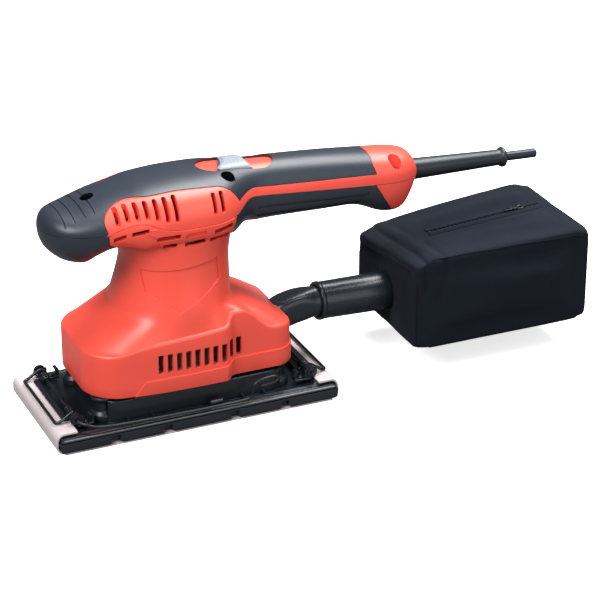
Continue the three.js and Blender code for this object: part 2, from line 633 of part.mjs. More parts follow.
// The nozzle's straight end falls a little towards the rear, and the bag's sleeve follows it.
const pipeZ = (x) => DUCT.height - (SLEEVE.drop * (x - SLEEVE.start)) / (SLEEVE.end - SLEEVE.start);
const ductLine = [[DUCT.start, 0, 42.6], [66, 0, 43.4], [74, 0, 45.6], [83, 0, 47.5],
  ...[91, SLEEVE.start, 107, 117, DUCT.end].map((x) => [x, 0, pipeZ(x)])];
const makeDustNozzle = () => bent(ductLine, circle(DUCT.radius, DUCT.inner), 10, 5);

function makeSleeve() {
  const { start, end, radius, inner } = SLEEVE;
  const line = [start, (start + end) / 2, end].map((x) => [x, 0, pipeZ(x)]);
  return bent(line, circle(radius, inner), 4, 6);
}

// Sections of the bag: X, top on the near side, top on the far side, bottom, half width.
const BAG_SECTIONS = [[147, 73, 62, 28, 36], [148.5, 78, 67, 24.5, 41], [153, 82, 71, 22, 43.2],
  [160, 84, 73.5, 21, 43.5], [250, 85.2, 84.2, 20.8, 43.5], [262, 85.4, 85, 21.2, 43.3],
  [268, 82.5, 82, 23, 41], [271.5, 75, 74, 30, 35]];

// A soft box whose top leans down to the far side at its front end.
function makeBag() {
  const [sides, squareness] = [24, 9];
  const rings = BAG_SECTIONS.map(([x, nearTop, farTop, bottom, half]) => {
    const section = [];
    for (let i = 0; i < sides; i++) {
      const angle = (2 * Math.PI * (i + 0.5)) / sides;
      const [c, s] = [Math.cos(angle), Math.sin(angle)];
      const y = half * Math.sign(c) * Math.abs(c) ** (2 / squareness);
      const top = (nearTop + farTop) / 2 + ((farTop - nearTop) / 2) * (y / half);
      const rise = Math.sign(s) * Math.abs(s) ** (2 / squareness);
      section.push(new THREE.Vector3(x, y, (top + bottom) / 2 + ((top - bottom) / 2) * rise));
    }
    return section;
  });
  return skin(rings);
}

// ---------------------------------------------------------------- base, pad and paper

const dustHoles = DUST_HOLE.x.flatMap((x) => [-DUST_HOLE.y, DUST_HOLE.y].map((y) =>
  bar([x, y, -2], [x, y, 14], DUST_HOLE.radius, 12)));

// One sheet: flat under the pad, turned up at both ends and folded onto the plate.
function makePaper() {
  const half = PAD.length / 2 + 1;
  const halfWidth = PAD.width / 2 - 0.4;
  const [low, high, r] = [0, PLATE.endTop + GAP + PAD.paper, PAD.corner];
  const reach = half - FLAP.length;
  const outside = new THREE.Shape();
  outside.moveTo(-half + r, low);
  outside.lineTo(half - r, low);
  outside.absarc(half - r, low + r, r, -Math.PI / 2, 0);
  outside.absarc(half - 2, high - 2, 2, 0, Math.PI / 2);
  outside.lineTo(reach, high);
  outside.lineTo(reach, high - PAD.paper);
  outside.absarc(half - 2, high - 2, 1, Math.PI / 2, 0, true);
  outside.absarc(half - r, low + r, r - PAD.paper, 0, -Math.PI / 2, true);
  outside.absarc(-half + r, low + r, r - PAD.paper, -Math.PI / 2, -Math.PI, true);
  outside.absarc(-half + 2, high - 2, 1, Math.PI, Math.PI / 2, true);
  outside.lineTo(-reach, high - PAD.paper);
  outside.lineTo(-reach, high);
  outside.absarc(-half + 2, high - 2, 2, Math.PI / 2, Math.PI);
  outside.absarc(-half + r, low + r, r, Math.PI, 1.5 * Math.PI);
  const sheet = profile(outside, -halfWidth, halfWidth);
  const trims = [-1, 1].flatMap((end) => [-1, 1].map((side) => {
    const x = [end * (half + 1), end * (half - r)].sort((a, b) => a - b);
    const y = [side * FLAP.halfWidth, side * (halfWidth + 1)].sort((a, b) => a - b);
    return block(x, y, [low - 1, high + 1]);
  }));
  const foldTrims = [-1, 1].flatMap((end) => [-1, 1].map((side) => {
    const x = [end * (half - r), end * (reach - 1)].sort((a, b) => a - b);
    const y = [side * FLAP.halfWidth, side * (halfWidth + 1)].sort((a, b) => a - b);
    return block(x, y, [PAD.foamTop, high + 1]);
  }));
  return cut(sheet, ...trims, ...foldTrims, ...dustHoles);
}

function makePadFoam() {
  const half = PAD.length / 2 - GAP;
  const [low, high, r] = [PAD.paper + GAP, PAD.foamTop, PAD.corner - PAD.paper - GAP];
  const section = new THREE.Shape();
  section.moveTo(-half + r, low);
  section.absarc(half - r, low + r, r, -Math.PI / 2, 0);
  section.lineTo(half, high);
  section.lineTo(-half, high);
  section.absarc(-half + r, low + r, r, Math.PI, 1.5 * Math.PI);
  const { halfWidth, depth, roof } = FOAM_NOTCH;
  const notches = FOAM_NOTCH.x.flatMap((x) => [-1, 1].map((side) => {
    const edge = (side * PAD.width) / 2;
    return block([x - halfWidth, x + halfWidth], [edge - depth, edge + depth], [-1, PAD.foamTop - roof]);
  }));
  return cut(profile(section, -PAD.width / 2, PAD.width / 2), ...notches, ...dustHoles);
}

// The raised tray in the middle of the plate, open at the top.
function makeTub() {
  const { halfLength, halfWidth, top, corner, wall } = TUB;
  const outside = roundedBox([-halfLength, halfLength], [-halfWidth, halfWidth], corner);
  const [innerX, innerY] = [halfLength - wall, halfWidth - wall];
  const inside = roundedBox([-innerX, innerX], [-innerY, innerY], corner - wall);
  return cut(slab(outside, PLATE.bottom, top), slab(inside, PLATE.top, top + 15));
}

function makeBasePlate() {
  const [halfX, halfY] = [PAD.length / 2 - 1.2, PAD.width / 2];
  const { bottom, top, endTop, endLength } = PLATE;
  const sheet = slab(roundedBox([-halfX, halfX], [-halfY + 3, halfY - 3], 3), bottom, top);
  const lip = outlineOf([[0, bottom], [halfY - 0.2, bottom], [halfY - 0.2, bottom + 0.9],
    [halfY - 3.2, top + 0.6], [halfY - 4.6, top + 0.6], [halfY - 5.6, top], [0, top]]);
  const options = { depth: 2 * halfX, bevelEnabled: false };
  const rail = solid(new THREE.ExtrudeGeometry(lip, options).rotateX(Math.PI / 2).rotateZ(Math.PI / 2)
    .translate(-halfX, 0, 0));
  const railCut = block([-halfX, halfX], [halfY - 10, halfY], [0, 30]);
  const oneRail = rail.intersect(railCut);
  const ends = [-1, 1].map((side) => {
    const x = [side * halfX, side * (halfX - endLength)].sort((a, b) => a - b);
    return block(x, [-halfY + 5, halfY - 5], [bottom, endTop]);
  });
  const hub = turned([[0, bottom], [HUB.radius, bottom], [HUB.radius, HUB.top], [0, HUB.top]]);
  const bore = turned([[0, HUB.floor], [HUB.bore, HUB.floor], [HUB.bore, HUB.top + 6], [0, HUB.top + 6]]);
  const hooks = [1, -1].map((side) => {
    const x = HOOK.x.map((place) => side * place).sort((a, b) => a - b);
    const y = HOOK.y.map((place) => -side * place).sort((a, b) => a - b);
    return block(x, y, [bottom, HOOK.top]);
  });
  const footRoom = feetPlaces.map(([x, y]) => bar([x, y, top + 0.01], [x, y, 30], FOOT.radius + GAP, 16));
  const plate = join(sheet, oneRail, mirrored(oneRail), ...ends, makeTub(), hub, ...hooks);
  return cut(plate, bore, ...footRoom, ...dustHoles);
}

const feetPlaces = [[-1, -1], [-1, 1], [1, -1], [1, 1]].map(([sx, sy]) => [sx * FOOT.x, sy * FOOT.y]);

function makeFoot() {
  const { radius, bottom, top } = FOOT;
  const waist = radius - 2;
  const outline = [[0, bottom], [radius, bottom], [radius, bottom + 3], [waist, bottom + 6],
    [waist, top - 4], [radius - 0.5, top - 1.5], [radius - 1.5, top], [0, top]];
  return turned(outline, 12);
}

// ---------------------------------------------------------------- paper clamps (front end)

// A bar along the clamp's pivot line.
const onPivot = ([y0, y1], radius, segments = 12) =>
  bar([LEVER.pivotX, y0, LEVER.pivotZ], [LEVER.pivotX, y1, LEVER.pivotZ], radius, segments);

function makeBracket() {
  const low = PLATE.endTop + GAP;
  const { pivotX, pivotZ, wire } = LEVER;
  const [thickness, depth, earRadius] = [1.4, 4.5, 4];
  const strip = block([pivotX, pivotX + depth], [-37, 37], [low, low + thickness]);
  const ears = [-1, 1].map((side) => {
    const y = [side * 36, side * 34].sort((a, b) => a - b);
    return join(onPivot(y, earRadius, 14), block([pivotX, pivotX + depth], y, [low, pivotZ]));
  });
  const flapRoom = block([-100, pivotX - 0.1], [-50, 50], [0, 14]);
  return cut(join(strip, ...ears), onPivot([-40, 40], wire + GAP), flapRoom);
}

// One bent wire: the pivot bar, a crank to the side, the long arm and the finger loop.
function makeLever() {
  const { pivotX, pivotZ, side, wire } = LEVER;
  const pivotAndCrank = [[pivotX, 38, pivotZ], [pivotX, 30, pivotZ], [pivotX, 0, pivotZ],
    [pivotX, -34, pivotZ], [pivotX + 0.6, -39.5, pivotZ - 0.2], [pivotX + 5, -43.4, pivotZ - 1.4],
    [pivotX + 12, side, pivotZ - 3]];
  const arm = [[-50, side, 13.4], [-20, side, 12.6], [10, side, 12.4], [29, side, 12.8]];
  const fingerLoop = [[33, side, 14.6], [34, side, 18], [35, side, 21.6], [38, side, 23.8], [44, side, 25],
    [49, side, 25], [51.5, side, 23.4], [50, side, 21.6], [45, side, 20.6], [39.5, side, 20.2]];
  const line = [...pivotAndCrank, ...arm, ...fingerLoop];
  return bent(line, circle(wire), 44, 2);
}

// The bail is a U of wire hinged beside the bracket's ears; its cross bar lies on the folded paper.
function makeBail() {
  const { pivotX, pivotZ, wire } = LEVER;
  const rest = PLATE.endTop + GAP + PAD.paper + wire + GAP;
  const halfSpan = 31;
  const crossX = -89.8;
  const leg = (side) => [[pivotX - 0.4, side * halfSpan, pivotZ + 3.4],
    [pivotX - 4, side * halfSpan, pivotZ + 1.4], [crossX + 2.8, side * halfSpan, rest + 0.6],
    [crossX + 0.2, side * (halfSpan - 2), rest], [crossX, side * (halfSpan - 6), rest]];
  const line = [...leg(-1), [crossX, 0, rest], ...leg(1).reverse()];
  const bow = bent(line, circle(wire), 22, 2);
  const eyes = [-1, 1].map((side) => {
    const y = [side * (halfSpan - 1.6), side * (halfSpan + 1.6)].sort((a, b) => a - b);
    return onPivot(y, 3.1);
  });
  return cut(join(bow, ...eyes), onPivot([-40, 40], wire + GAP));
}

// ---------------------------------------------------------------- the whole sander

const housing = group(
  piece('motor_housing', makeMotorHousing(), RED),
  piece('top_cover', makeTopCover(), RED),
  piece('upper_grip', makeUpperGrip(), GRIP),
  piece('knob_grip', makeKnobGrip(), GRIP),
  piece('lower_grip', makeLowerGrip(), GRIP),
  piece('bearing_box', makeBearingBox(), ALUMINIUM),
  ...coverScrews.map((place, i) => piece(`cover_screw_${i + 1}`, screwAt(...place), STEEL)),
  piece('switch_body', block([30, 54], [-8, 8], [132, 146]), BLACK),
  piece('capacitor', block([78, 100], [-7, 9], [124.5, 136]), finish(0x3a6ea5, 0.5)),
  piece('cord', makeCord(), BLACK),
  piece('cord_guard', makeCordGuard(), RUBBER),
  piece('strain_relief', makeStrainRelief(), BLACK),
  piece('dust_nozzle', makeDustNozzle(), BLACK),
);

const motorFixed = group(
  piece('field_core', makeFieldCore(), CORE),
  piece('field_coil_left', makeFieldCoil(), COPPER),
  piece('field_coil_right', mirrored(makeFieldCoil()), COPPER),
  piece('brush_holder_left', makeBrushHolder(), BRASS),
  piece('brush_holder_right', mirrored(makeBrushHolder()), BRASS),
  piece('carbon_brush_left', makeBrush(), CARBON),
  piece('carbon_brush_right', mirrored(makeBrush()), CARBON),
  piece('brush_spring_left', makeBrushSpring(), STEEL),
  piece('brush_spring_right', mirrored(makeBrushSpring()), STEEL),
  piece('lower_bearing_outer', ring(9, 11, LOWER_BEARING.z0, LOWER_BEARING.z1), STEEL),
  piece('upper_bearing_outer', ring(6.8, 8.5, UPPER_BEARING.z0, UPPER_BEARING.z1), STEEL),
);
motorFixed.position.x = MOTOR_X;

const rotor = group(
  piece('armature_shaft', makeShaft(), STEEL),
  piece('armature_core', makeArmatureCore(), CORE),
  piece('armature_winding_lower', makeWinding(64, STACK.z0 - GAP), COPPER),
  piece('armature_winding_upper', makeWinding(STACK.z1 + GAP, 110.6), COPPER),
  piece('commutator', ring(SHAFT.bore, 11, 111.4, 122.4), COPPER),
  piece('cooling_fan', makeFan(27, 46, 53, 7, 8), FAN),
  piece('dust_fan', makeFan(27, 34.4, 32.4, 6, 8.6), FAN),
  piece('counterweight', makeCounterweight(), CORE),
  piece('lower_bearing_inner', ring(SHAFT.bore, 6, LOWER_BEARING.z0, LOWER_BEARING.z1), STEEL),
  piece('upper_bearing_inner', ring(SHAFT.tipBore, 4.8, UPPER_BEARING.z0, UPPER_BEARING.z1), STEEL),
);
rotor.position.x = MOTOR_X;

const bearingInner = piece('orbit_bearing_inner',
  ring(ECCENTRIC.radius + GAP, 7, ORBIT_BEARING.z0, ORBIT_BEARING.z1), STEEL);

const base = group(
  piece('base_plate', makeBasePlate(), BLACK),
  piece('orbit_bearing_outer', ring(8.8, 11, ORBIT_BEARING.z0, ORBIT_BEARING.z1), STEEL),
  piece('pad_foam', makePadFoam(), RUBBER),
  piece('abrasive_paper', makePaper(), PAPER),
);
const footNames = ['front_left', 'front_right', 'rear_left', 'rear_right'];
feetPlaces.forEach(([x, y], i) => {
  const foot = piece(`rubber_foot_${footNames[i]}`, makeFoot(), RUBBER);
  foot.position.set(x, y, 0);
  base.add(foot);
});

// The same clamp serves both ends: the rear one is turned half round about Z.
function makeClamp(end) {
  return group(
    piece(`${end}_clamp_bracket`, makeBracket(), BLACK),
    piece(`${end}_lever`, makeLever(), BLACK),
    piece(`${end}_bail`, makeBail(), BLACK),
  );
}
const frontClamp = makeClamp('front');
const rearClamp = makeClamp('rear');
rearClamp.rotation.z = Math.PI;

const slider = piece('switch_slider', makeSlider(), PALE);

const zipPull = piece('zip_pull', block([-4, 4], [-2, 2], [0, 1.6]), STEEL);
zipPull.position.set(ZIP.x, ZIP.y, ZIP.bagTop + GAP);
zipPull.rotation.y = -Math.atan(ZIP.rise);
const bag = group(
  piece('bag_sleeve', makeSleeve(), BLACK),
  piece('dust_bag', makeBag(), CLOTH),
  zipPull,
);

export default group(housing, motorFixed, rotor, bearingInner, base, frontClamp, rearClamp, slider, bag);
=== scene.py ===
"""Orbital finishing sander: the visible surfaces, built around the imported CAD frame.

Tables and sizes are in millimetres. X runs from the palm knob to the cord, Z is up,
and the near side, with the front clamp's arm, is at negative Y.
"""

import math

import bmesh
import bpy
from mathutils import Matrix, Vector, noise
from mathutils.bvhtree import BVHTree


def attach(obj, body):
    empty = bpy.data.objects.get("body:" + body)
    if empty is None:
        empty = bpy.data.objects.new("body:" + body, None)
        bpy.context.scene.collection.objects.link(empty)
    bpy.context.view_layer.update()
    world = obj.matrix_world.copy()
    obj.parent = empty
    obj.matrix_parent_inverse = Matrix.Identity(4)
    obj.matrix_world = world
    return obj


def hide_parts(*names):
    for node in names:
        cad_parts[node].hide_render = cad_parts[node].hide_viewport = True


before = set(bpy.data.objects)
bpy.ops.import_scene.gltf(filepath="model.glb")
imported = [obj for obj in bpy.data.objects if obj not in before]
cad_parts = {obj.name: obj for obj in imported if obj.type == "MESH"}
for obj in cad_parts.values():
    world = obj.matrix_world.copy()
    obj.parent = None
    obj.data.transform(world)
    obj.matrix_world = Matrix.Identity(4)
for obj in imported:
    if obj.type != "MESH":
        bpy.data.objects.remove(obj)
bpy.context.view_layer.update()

MM = 0.001
GAP = 0.3

# ---- driving dimensions

HANDLE = {"front": -85, "rear": 162.5, "seam": 131, "wall": 3.6, "skin": 1.6}
SKIRT = {"front": -68, "rear": 68, "bottom": 27, "side": 42.5, "rear_side": 36,
         "front_corner": 21, "rear_corner": 14}
STEP = (19, 25)                      # where the skirt narrows towards the duct
WALL = 2.6
PAD = {"length": 185, "width": 93, "paper": 1, "foam_top": 8, "corner": 5}
PLATE = {"bottom": 8.3, "top": 10.4, "end_top": 12.4, "end_length": 14}
TUB = {"half_length": 61, "half_width": 37, "top": 24.8, "corner": 12, "wall": 2.5}
HUB = {"radius": 15, "top": 24, "bore": 11.3, "floor": 14.6}
DUST_HOLES = {"x": (-42, -14, 14, 42), "y": (-28, 28), "radius": 5}
LEVER = {"x": -78, "z": 17.6, "side": -45, "wire": 1.0}
FOOT = {"x": 58, "y": 26, "radius": 7.5, "bottom": 10.7, "top": 26.4}
SWITCH = {"middle": 41.5, "half_length": 25, "half_width": 10.9}
SCREWS = [(-54, 0, 138), (31, -16.5, 140), (31, 16.5, 140), (145, -13, 134), (145, 13, 134)]
LINED_SCREWS = SCREWS[:3]            # the three that go down through the upper soft grip
SCREW_HOLE = 4.2
DUCT = {"height": 47.9, "radius": 10, "inner": 8.3, "start": 57, "end": 128}
AIR_WALL = {"x": (-48, 24), "y": (-19, -17)}
SLEEVE = {"start": 97, "end": 146.6, "radius": 12.6, "inner": 10.5, "drop": 1.6}
CORD = {"guard": 162, "end": 230, "z": 128, "drop": 2.6, "radius": 3.05, "hole": 7.5}
BAG_ENDS = (147, 272)
BAG_HALF_WIDTH = 43.5


# ---- small maths

def mix(a, b, share):
    return a + (b - a) * share


def clamp(value, low, high):
    return min(max(value, low), high)


def smoothstep(value, low, high):
    share = clamp((value - low) / (high - low), 0, 1)
    return share * share * (3 - 2 * share)


def hill(value, middle, width):
    """1 at the middle, falling to nothing a few widths away."""
    return math.exp(-((value - middle) / width) ** 2)


def spread(start, end, steps):
    """Even steps from start to end, both included."""
    return [mix(start, end, k / steps) for k in range(steps + 1)]


def turns(start, end, steps):
    """Angles from start to end degrees, both included, as radians."""
    return [math.radians(a) for a in spread(start, end, steps)]


def circle(count, half_step=0.0):
    """Angles once round."""
    return [2 * math.pi * (k + half_step) / count for k in range(count)]


def powered(value, power):
    """A sine or cosine bent so that a circle becomes a squarer oval. Power 2 leaves it round."""
    return math.copysign(abs(value) ** (2 / power), value)


def on_side(side, a, b):
    """The Y range from a to b on one side, lowest first."""
    return sorted((side * a, side * b))


def slopes_of(keys, values):
    """Slopes that keep a curve through the points from overshooting them."""
    steps = [(values[i + 1] - values[i]) / (keys[i + 1] - keys[i]) for i in range(len(keys) - 1)]
    slopes = [steps[0]]
    for before, after in zip(steps, steps[1:]):
        same_way = before * after > 0
        slopes.append(2 * before * after / (before + after) if same_way else 0)
    return slopes + [steps[-1]]


def smooth_table(points, key=lambda x: x):
    """A function that reads a smooth curve through [position, value] points."""
    keys = [key(x) for x, _ in points]
    values = [value for _, value in points]
    slopes = slopes_of(keys, values)

    def read(x):
        at = key(x)
        if at <= keys[0]:
            return values[0]
        if at >= keys[-1]:
            return values[-1]
        i = max(k for k in range(len(keys) - 1) if keys[k] <= at)
        width = keys[i + 1] - keys[i]
        t = (at - keys[i]) / width
        ease = 3 * t ** 2 - 2 * t ** 3
        return ((1 - ease) * values[i] + ease * values[i + 1]
                + width * ((t ** 3 - 2 * t ** 2 + t) * slopes[i] + (t ** 3 - t ** 2) * slopes[i + 1]))

    return read


def smooth_line(points, steps=6):
    """Catmull-Rom points through a short list of points."""
    given = [Vector(p) for p in points]
    last = len(given) - 1
    line = []
    for i in range(last):
        a, b, c, d = [given[clamp(i + k, 0, last)] for k in (-1, 0, 1, 2)]
        for k in range(steps):
            t = k / steps
            line.append(0.5 * (2 * b + (c - a) * t + (2 * a - 5 * b + 4 * c - d) * t * t
                               + (3 * b - a - 3 * c + d) * t ** 3))
    return line + [given[-1]]


def evenly(points, count):
    """The same open line, as count + 1 evenly spaced points."""
    lengths = [0]
    for a, b in zip(points, points[1:]):
        lengths.append(lengths[-1] + (b - a).length)
    spaced, i = [], 0
    for target in spread(0, lengths[-1], count):
        while i < len(points) - 2 and lengths[i + 1] < target:
            i += 1
        span = lengths[i + 1] - lengths[i]
        spaced.append(points[i].lerp(points[i + 1], (target - lengths[i]) / span if span else 0))
    return spaced


# ---- meshes

def linked(name, mesh):
    thing = bpy.data.objects.new(name, mesh)
    bpy.context.scene.collection.objects.link(thing)
    return thing


def mesh_object(name, points, faces):
    mesh = bpy.data.meshes.new(name)
    mesh.from_pydata([Vector(p) * MM for p in points], [], faces)
    built = bmesh.new()
    built.from_mesh(mesh)
    bmesh.ops.recalc_face_normals(built, faces=built.faces)
    built.to_mesh(mesh)
    built.free()
    return linked(name, mesh)


def skin(name, rings, loop=False):
    """Closed rings of equal length joined in order, closed at both ends or into a loop."""
    count = len(rings[0])
    points = [p for ring in rings for p in ring]
    faces = []
    for r in range(len(rings) if loop else len(rings) - 1):
        here, there = r * count, ((r + 1) % len(rings)) * count
        for i in range(count):
            j = (i + 1) % count
            faces.append((here + i, here + j, there + j, there + i))
    if not loop:
        faces.append(tuple(range(count))[::-1])
        faces.append(tuple(range((len(rings) - 1) * count, len(rings) * count)))
    return mesh_object(name, points, faces)


def remove(thing):
    mesh = thing.data
    bpy.data.objects.remove(thing)
    bpy.data.meshes.remove(mesh)


def apply_modifiers(thing):
    bpy.context.view_layer.update()
    shown = thing.evaluated_get(bpy.context.evaluated_depsgraph_get())
    mesh = bpy.data.meshes.new_from_object(shown)
    thing.modifiers.clear()
    old = thing.data
    thing.data = mesh
    bpy.data.meshes.remove(old)
    mesh.name = thing.name
    return thing


def combine(thing, operation, tool, keep):
    change = thing.modifiers.new("combine", "BOOLEAN")
    change.solver = "MANIFOLD"
    change.operation = operation
    change.object = tool
    apply_modifiers(thing)
    if not keep:
        remove(tool)
    return thing


def cut(thing, tool, keep=False):
    return combine(thing, "DIFFERENCE", tool, keep)


def join(thing, tool, keep=False):
    return combine(thing, "UNION", tool, keep)


def common(thing, tool, keep=False):
    return combine(thing, "INTERSECT", tool, keep)


def twin(thing, name):
    return linked(name, thing.data.copy())


def gathered(tools, name="tools"):
    """Separate pieces as one mesh."""
    whole = bmesh.new()
    for tool in tools:
        whole.from_mesh(tool.data)
        remove(tool)
    mesh = bpy.data.meshes.new(name)
    whole.to_mesh(mesh)
    whole.free()
    return linked(name, mesh)


def moved(thing, x, y, z):
    thing.data.transform(Matrix.Translation(Vector((x, y, z)) * MM))
    return thing


def spun(thing, angle, axis="Z"):
    thing.data.transform(Matrix.Rotation(angle, 4, axis))
    return thing


def both_sides(tools):
    """The tools and their mirror images across the middle plane."""
    near = gathered(tools)
    far = twin(near, "far")
    far.data.transform(Matrix.Scale(-1, 4, (0, 1, 0)))
    far.data.flip_normals()
    return gathered([near, far])


def box(name, x, y, z):
    corners = [(a, b, c) for a in x for b in y for c in z]
    faces = [(0, 1, 3, 2), (4, 6, 7, 5), (0, 4, 5, 1), (2, 3, 7, 6), (0, 2, 6, 4), (1, 5, 7, 3)]
    return mesh_object(name, corners, faces)


def prism(name, outline, y=(-60, 60)):
    """An outline in X and Z, extruded along Y."""
    return skin(name, [[(p[0], side, p[1]) for p in outline] for side in y])


def slab(name, outline, z, edge=0.0, steps=4, edges=(True, True)):
    """An outline in X and Y, extruded along Z, with rounded lower and upper edges."""
    points = [Vector((p[0], p[1])) for p in outline]
    count = len(points)
    area = sum(points[i - 1].cross(points[i]) for i in range(count))
    turn = 1 if area > 0 else -1
    inward = []
    for i, p in enumerate(points):
        before = (p - points[i - 1]).normalized()
        after = (points[(i + 1) % count] - p).normalized()
        across_both = Vector((-(before.y + after.y), before.x + after.x)) * turn
        across_both.normalize()
        lean = max(0.4, across_both.dot(Vector((-after.y, after.x)) * turn))
        inward.append(across_both / lean)
    quarter = [(edge * (1 - math.sin(a)), edge * (1 - math.cos(a))) for a in turns(0, 90, steps)]
    lower, upper = [quarter if edge and wanted else [(0, 0)] for wanted in edges]
    levels = [(inset, z[0] + rise) for inset, rise in lower]
    levels += [(inset, z[1] - rise) for inset, rise in upper[::-1]]
    return skin(name, [[(*(p + n * inset), height) for p, n in zip(points, inward)]
                       for inset, height in levels])


def turned(name, profile, segments=32):
    """A turned piece about Z from [radius, z] points. It closes on the axis, or on itself."""
    rings = [[(max(r, 0.01) * math.cos(a), max(r, 0.01) * math.sin(a), z) for a in circle(segments)]
             for r, z in profile]
    return skin(name, rings, loop=profile[0][0] > 0)


def upright(name, x, y, radius, z, segments=32):
    bar = turned(name, [(0, z[0]), (radius, z[0]), (radius, z[1]), (0, z[1])], segments)
    return moved(bar, x, y, 0)


def across(name, x, z, radius, y, segments=28):
    """A bar along Y."""
    bar = spun(upright(name, 0, 0, radius, y, segments), -math.pi / 2, "X")
    return moved(bar, x, 0, z)


def tube(name, points, radius, sides=14):
    """A round bar along a line, with its ends rounded off."""
    line = [Vector(p) for p in points]
    forward = (line[1] - line[0]).normalized()
    side = forward.orthogonal().normalized()
    rings = []
    for i, p in enumerate(line):
        ahead = (line[min(i + 1, len(line) - 1)] - line[max(i - 1, 0)]).normalized()
        side = (side - ahead * side.dot(ahead)).normalized()
        other = ahead.cross(side)
        rings.append([p + (side * math.cos(a) + other * math.sin(a)) * radius for a in circle(sides)])
    bulge, rim = radius * 0.3, 0.6
    first, last = line[0] - forward * bulge, line[-1] + ahead * bulge
    rings.insert(0, [first + (p - line[0]) * rim for p in rings[0]])
    rings.append([last + (p - line[-1]) * rim for p in rings[-1]])
    return skin(name, rings)


def rounded(x, y, radius, steps=8):
    """A rectangle with rounded corners, in X and Y."""
    outline = []
    for cx, cy, start in ((x[1], y[1], 0), (x[0], y[1], 90), (x[0], y[0], 180), (x[1], y[0], 270)):
        middle_x = cx - math.copysign(radius, cx - sum(x) / 2)
        middle_y = cy - math.copysign(radius, cy - sum(y) / 2)
        outline += [(middle_x + radius * math.cos(a), middle_y + radius * math.sin(a))
                    for a in turns(start, start + 90, steps)]
    return outline


def show(thing, sharp, material, body, slot, *nodes):
    """Smooths a finished piece up to the angle sharp, in degrees, and gives it its material,
    its body and the CAD nodes it stands for. The slot is not used."""
    mesh = thing.data
    mesh.polygons.foreach_set("use_smooth", [True] * len(mesh.polygons))
    mesh.set_sharp_from_angle(angle=math.radians(sharp))
    mesh.materials.clear()
    mesh.materials.append(material)
    mesh.polygons.foreach_set("material_index", [0] * len(mesh.polygons))
    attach(thing, body)
    if nodes:
        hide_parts(*nodes)


# ---- materials

class Finish:
    """A Principled material whose colour, roughness and bump come from nodes."""

    def __init__(self, name, colour, roughness, metallic=0.0, coat=0.0, sheen=0.0, gloss=0.5):
        self.material = bpy.data.materials.new(name)
        self.material.use_nodes = True
        self.tree = self.material.node_tree
        self.sockets = self.tree.nodes["Principled BSDF"].inputs
        self.colour = colour
        self.roughness = roughness
        for socket, value in {"Base Color": (*colour, 1), "Roughness": roughness, "Metallic": metallic,
                              "Specular IOR Level": gloss, "Coat Weight": coat, "Coat Roughness": 0.25,
                              "Sheen Weight": sheen}.items():
            self.sockets[socket].default_value = value
        self.place = self.node("ShaderNodeTexCoord").outputs["Object"]

    def node(self, kind, inputs=(), **settings):
        """A new node. Each input is given a value, or the output it is linked to."""
        made = self.tree.nodes.new(kind)
        for setting, value in settings.items():
            setattr(made, setting, value)
        for socket, value in dict(inputs).items():
            self.feed(made.inputs[socket], value)
        return made

    def feed(self, socket, value):
        if isinstance(value, bpy.types.NodeSocket):
            self.tree.links.new(value, socket)
        else:
            socket.default_value = value

    def noise(self, size, detail=3.0, stretch=(1, 1, 1)):
        """Noise whose grains are about size millimetres across."""
        stretched = self.node("ShaderNodeMapping", {"Scale": stretch, "Vector": self.place})
        return self.node("ShaderNodeTexNoise", {"Scale": 1 / (size * MM), "Detail": detail,
                                                "Vector": stretched.outputs["Vector"]}).outputs["Fac"]

    def bands(self, direction, inputs, **settings):
        """Parallel bands across one direction."""
        return self.node("ShaderNodeTexWave", {"Vector": self.place, **inputs}, wave_type="BANDS",
                         bands_direction=direction, **settings).outputs["Fac"]

    def maths(self, operation, *values):
        return self.node("ShaderNodeMath", enumerate(values), operation=operation).outputs[0]

    def ramp(self, value, low, high, start=0.3, end=0.7):
        return self.node("ShaderNodeMapRange", {"From Min": start, "From Max": end, "To Min": low,
                                                "To Max": high, "Value": value}).outputs["Result"]

    def blend(self, share, first, second):
        first, second = [(*c, 1) if isinstance(c, tuple) else c for c in (first, second)]
        return self.node("ShaderNodeMix", {0: share, 6: first, 7: second}, data_type="RGBA").outputs[2]

    def paint(self, share, first, second):
        """Takes the colour from a blend of two colours."""
        self.feed(self.sockets["Base Color"], self.blend(share, first, second))

    def tint(self, value, amount):
        """Makes the colour a little lighter and darker with value."""
        dark = tuple(c * (1 - amount) for c in self.colour)
        light = tuple(min(c * (1 + amount), 1) for c in self.colour)
        self.paint(value, dark, light)

    def vary_roughness(self, value, amount):
        low, high = self.roughness - amount, self.roughness + amount
        self.feed(self.sockets["Roughness"], self.ramp(value, low, high))

    def bumped(self, value, depth, strength, edge=0.0):
        """The finished material, with bump of depth millimetres.
        edge softens sharp corners over that many millimetres."""
        lift = self.node("ShaderNodeBump", {"Strength": strength, "Distance": depth * MM, "Height": value})
        if edge:
            corner = self.node("ShaderNodeBevel", {"Radius": edge * MM}, samples=4)
            self.feed(lift.inputs["Normal"], corner.outputs["Normal"])
        self.feed(self.sockets["Normal"], lift.outputs["Normal"])
        return self.material

    def surfaced(self, value, amount, depth, strength, edge=0.0):
        """The finished material, with roughness and bump that follow one value."""
        self.vary_roughness(value, amount)
        return self.bumped(value, depth, strength, edge)


def moulded(name, colour, roughness, grain, depth, **gloss):
    """Moulded plastic or rubber: a fine spark-eroded grain and a faint cloudiness."""
    finish = Finish(name, colour, roughness, **gloss)
    fine = finish.noise(grain, 2)
    finish.tint(finish.noise(38, 2), 0.06)
    return finish.surfaced(fine, 0.06, depth, 0.5, 0.4)


def painted(name, colour, roughness, metallic=0.0, edge=0.3):
    """Painted or coated metal with a slight orange peel and dusty variation."""
    finish = Finish(name, colour, roughness, metallic)
    peel = finish.noise(1.6, 2)
    finish.tint(finish.noise(14, 4), 0.18)
    return finish.surfaced(peel, 0.03, 0.008, 0.2, edge)


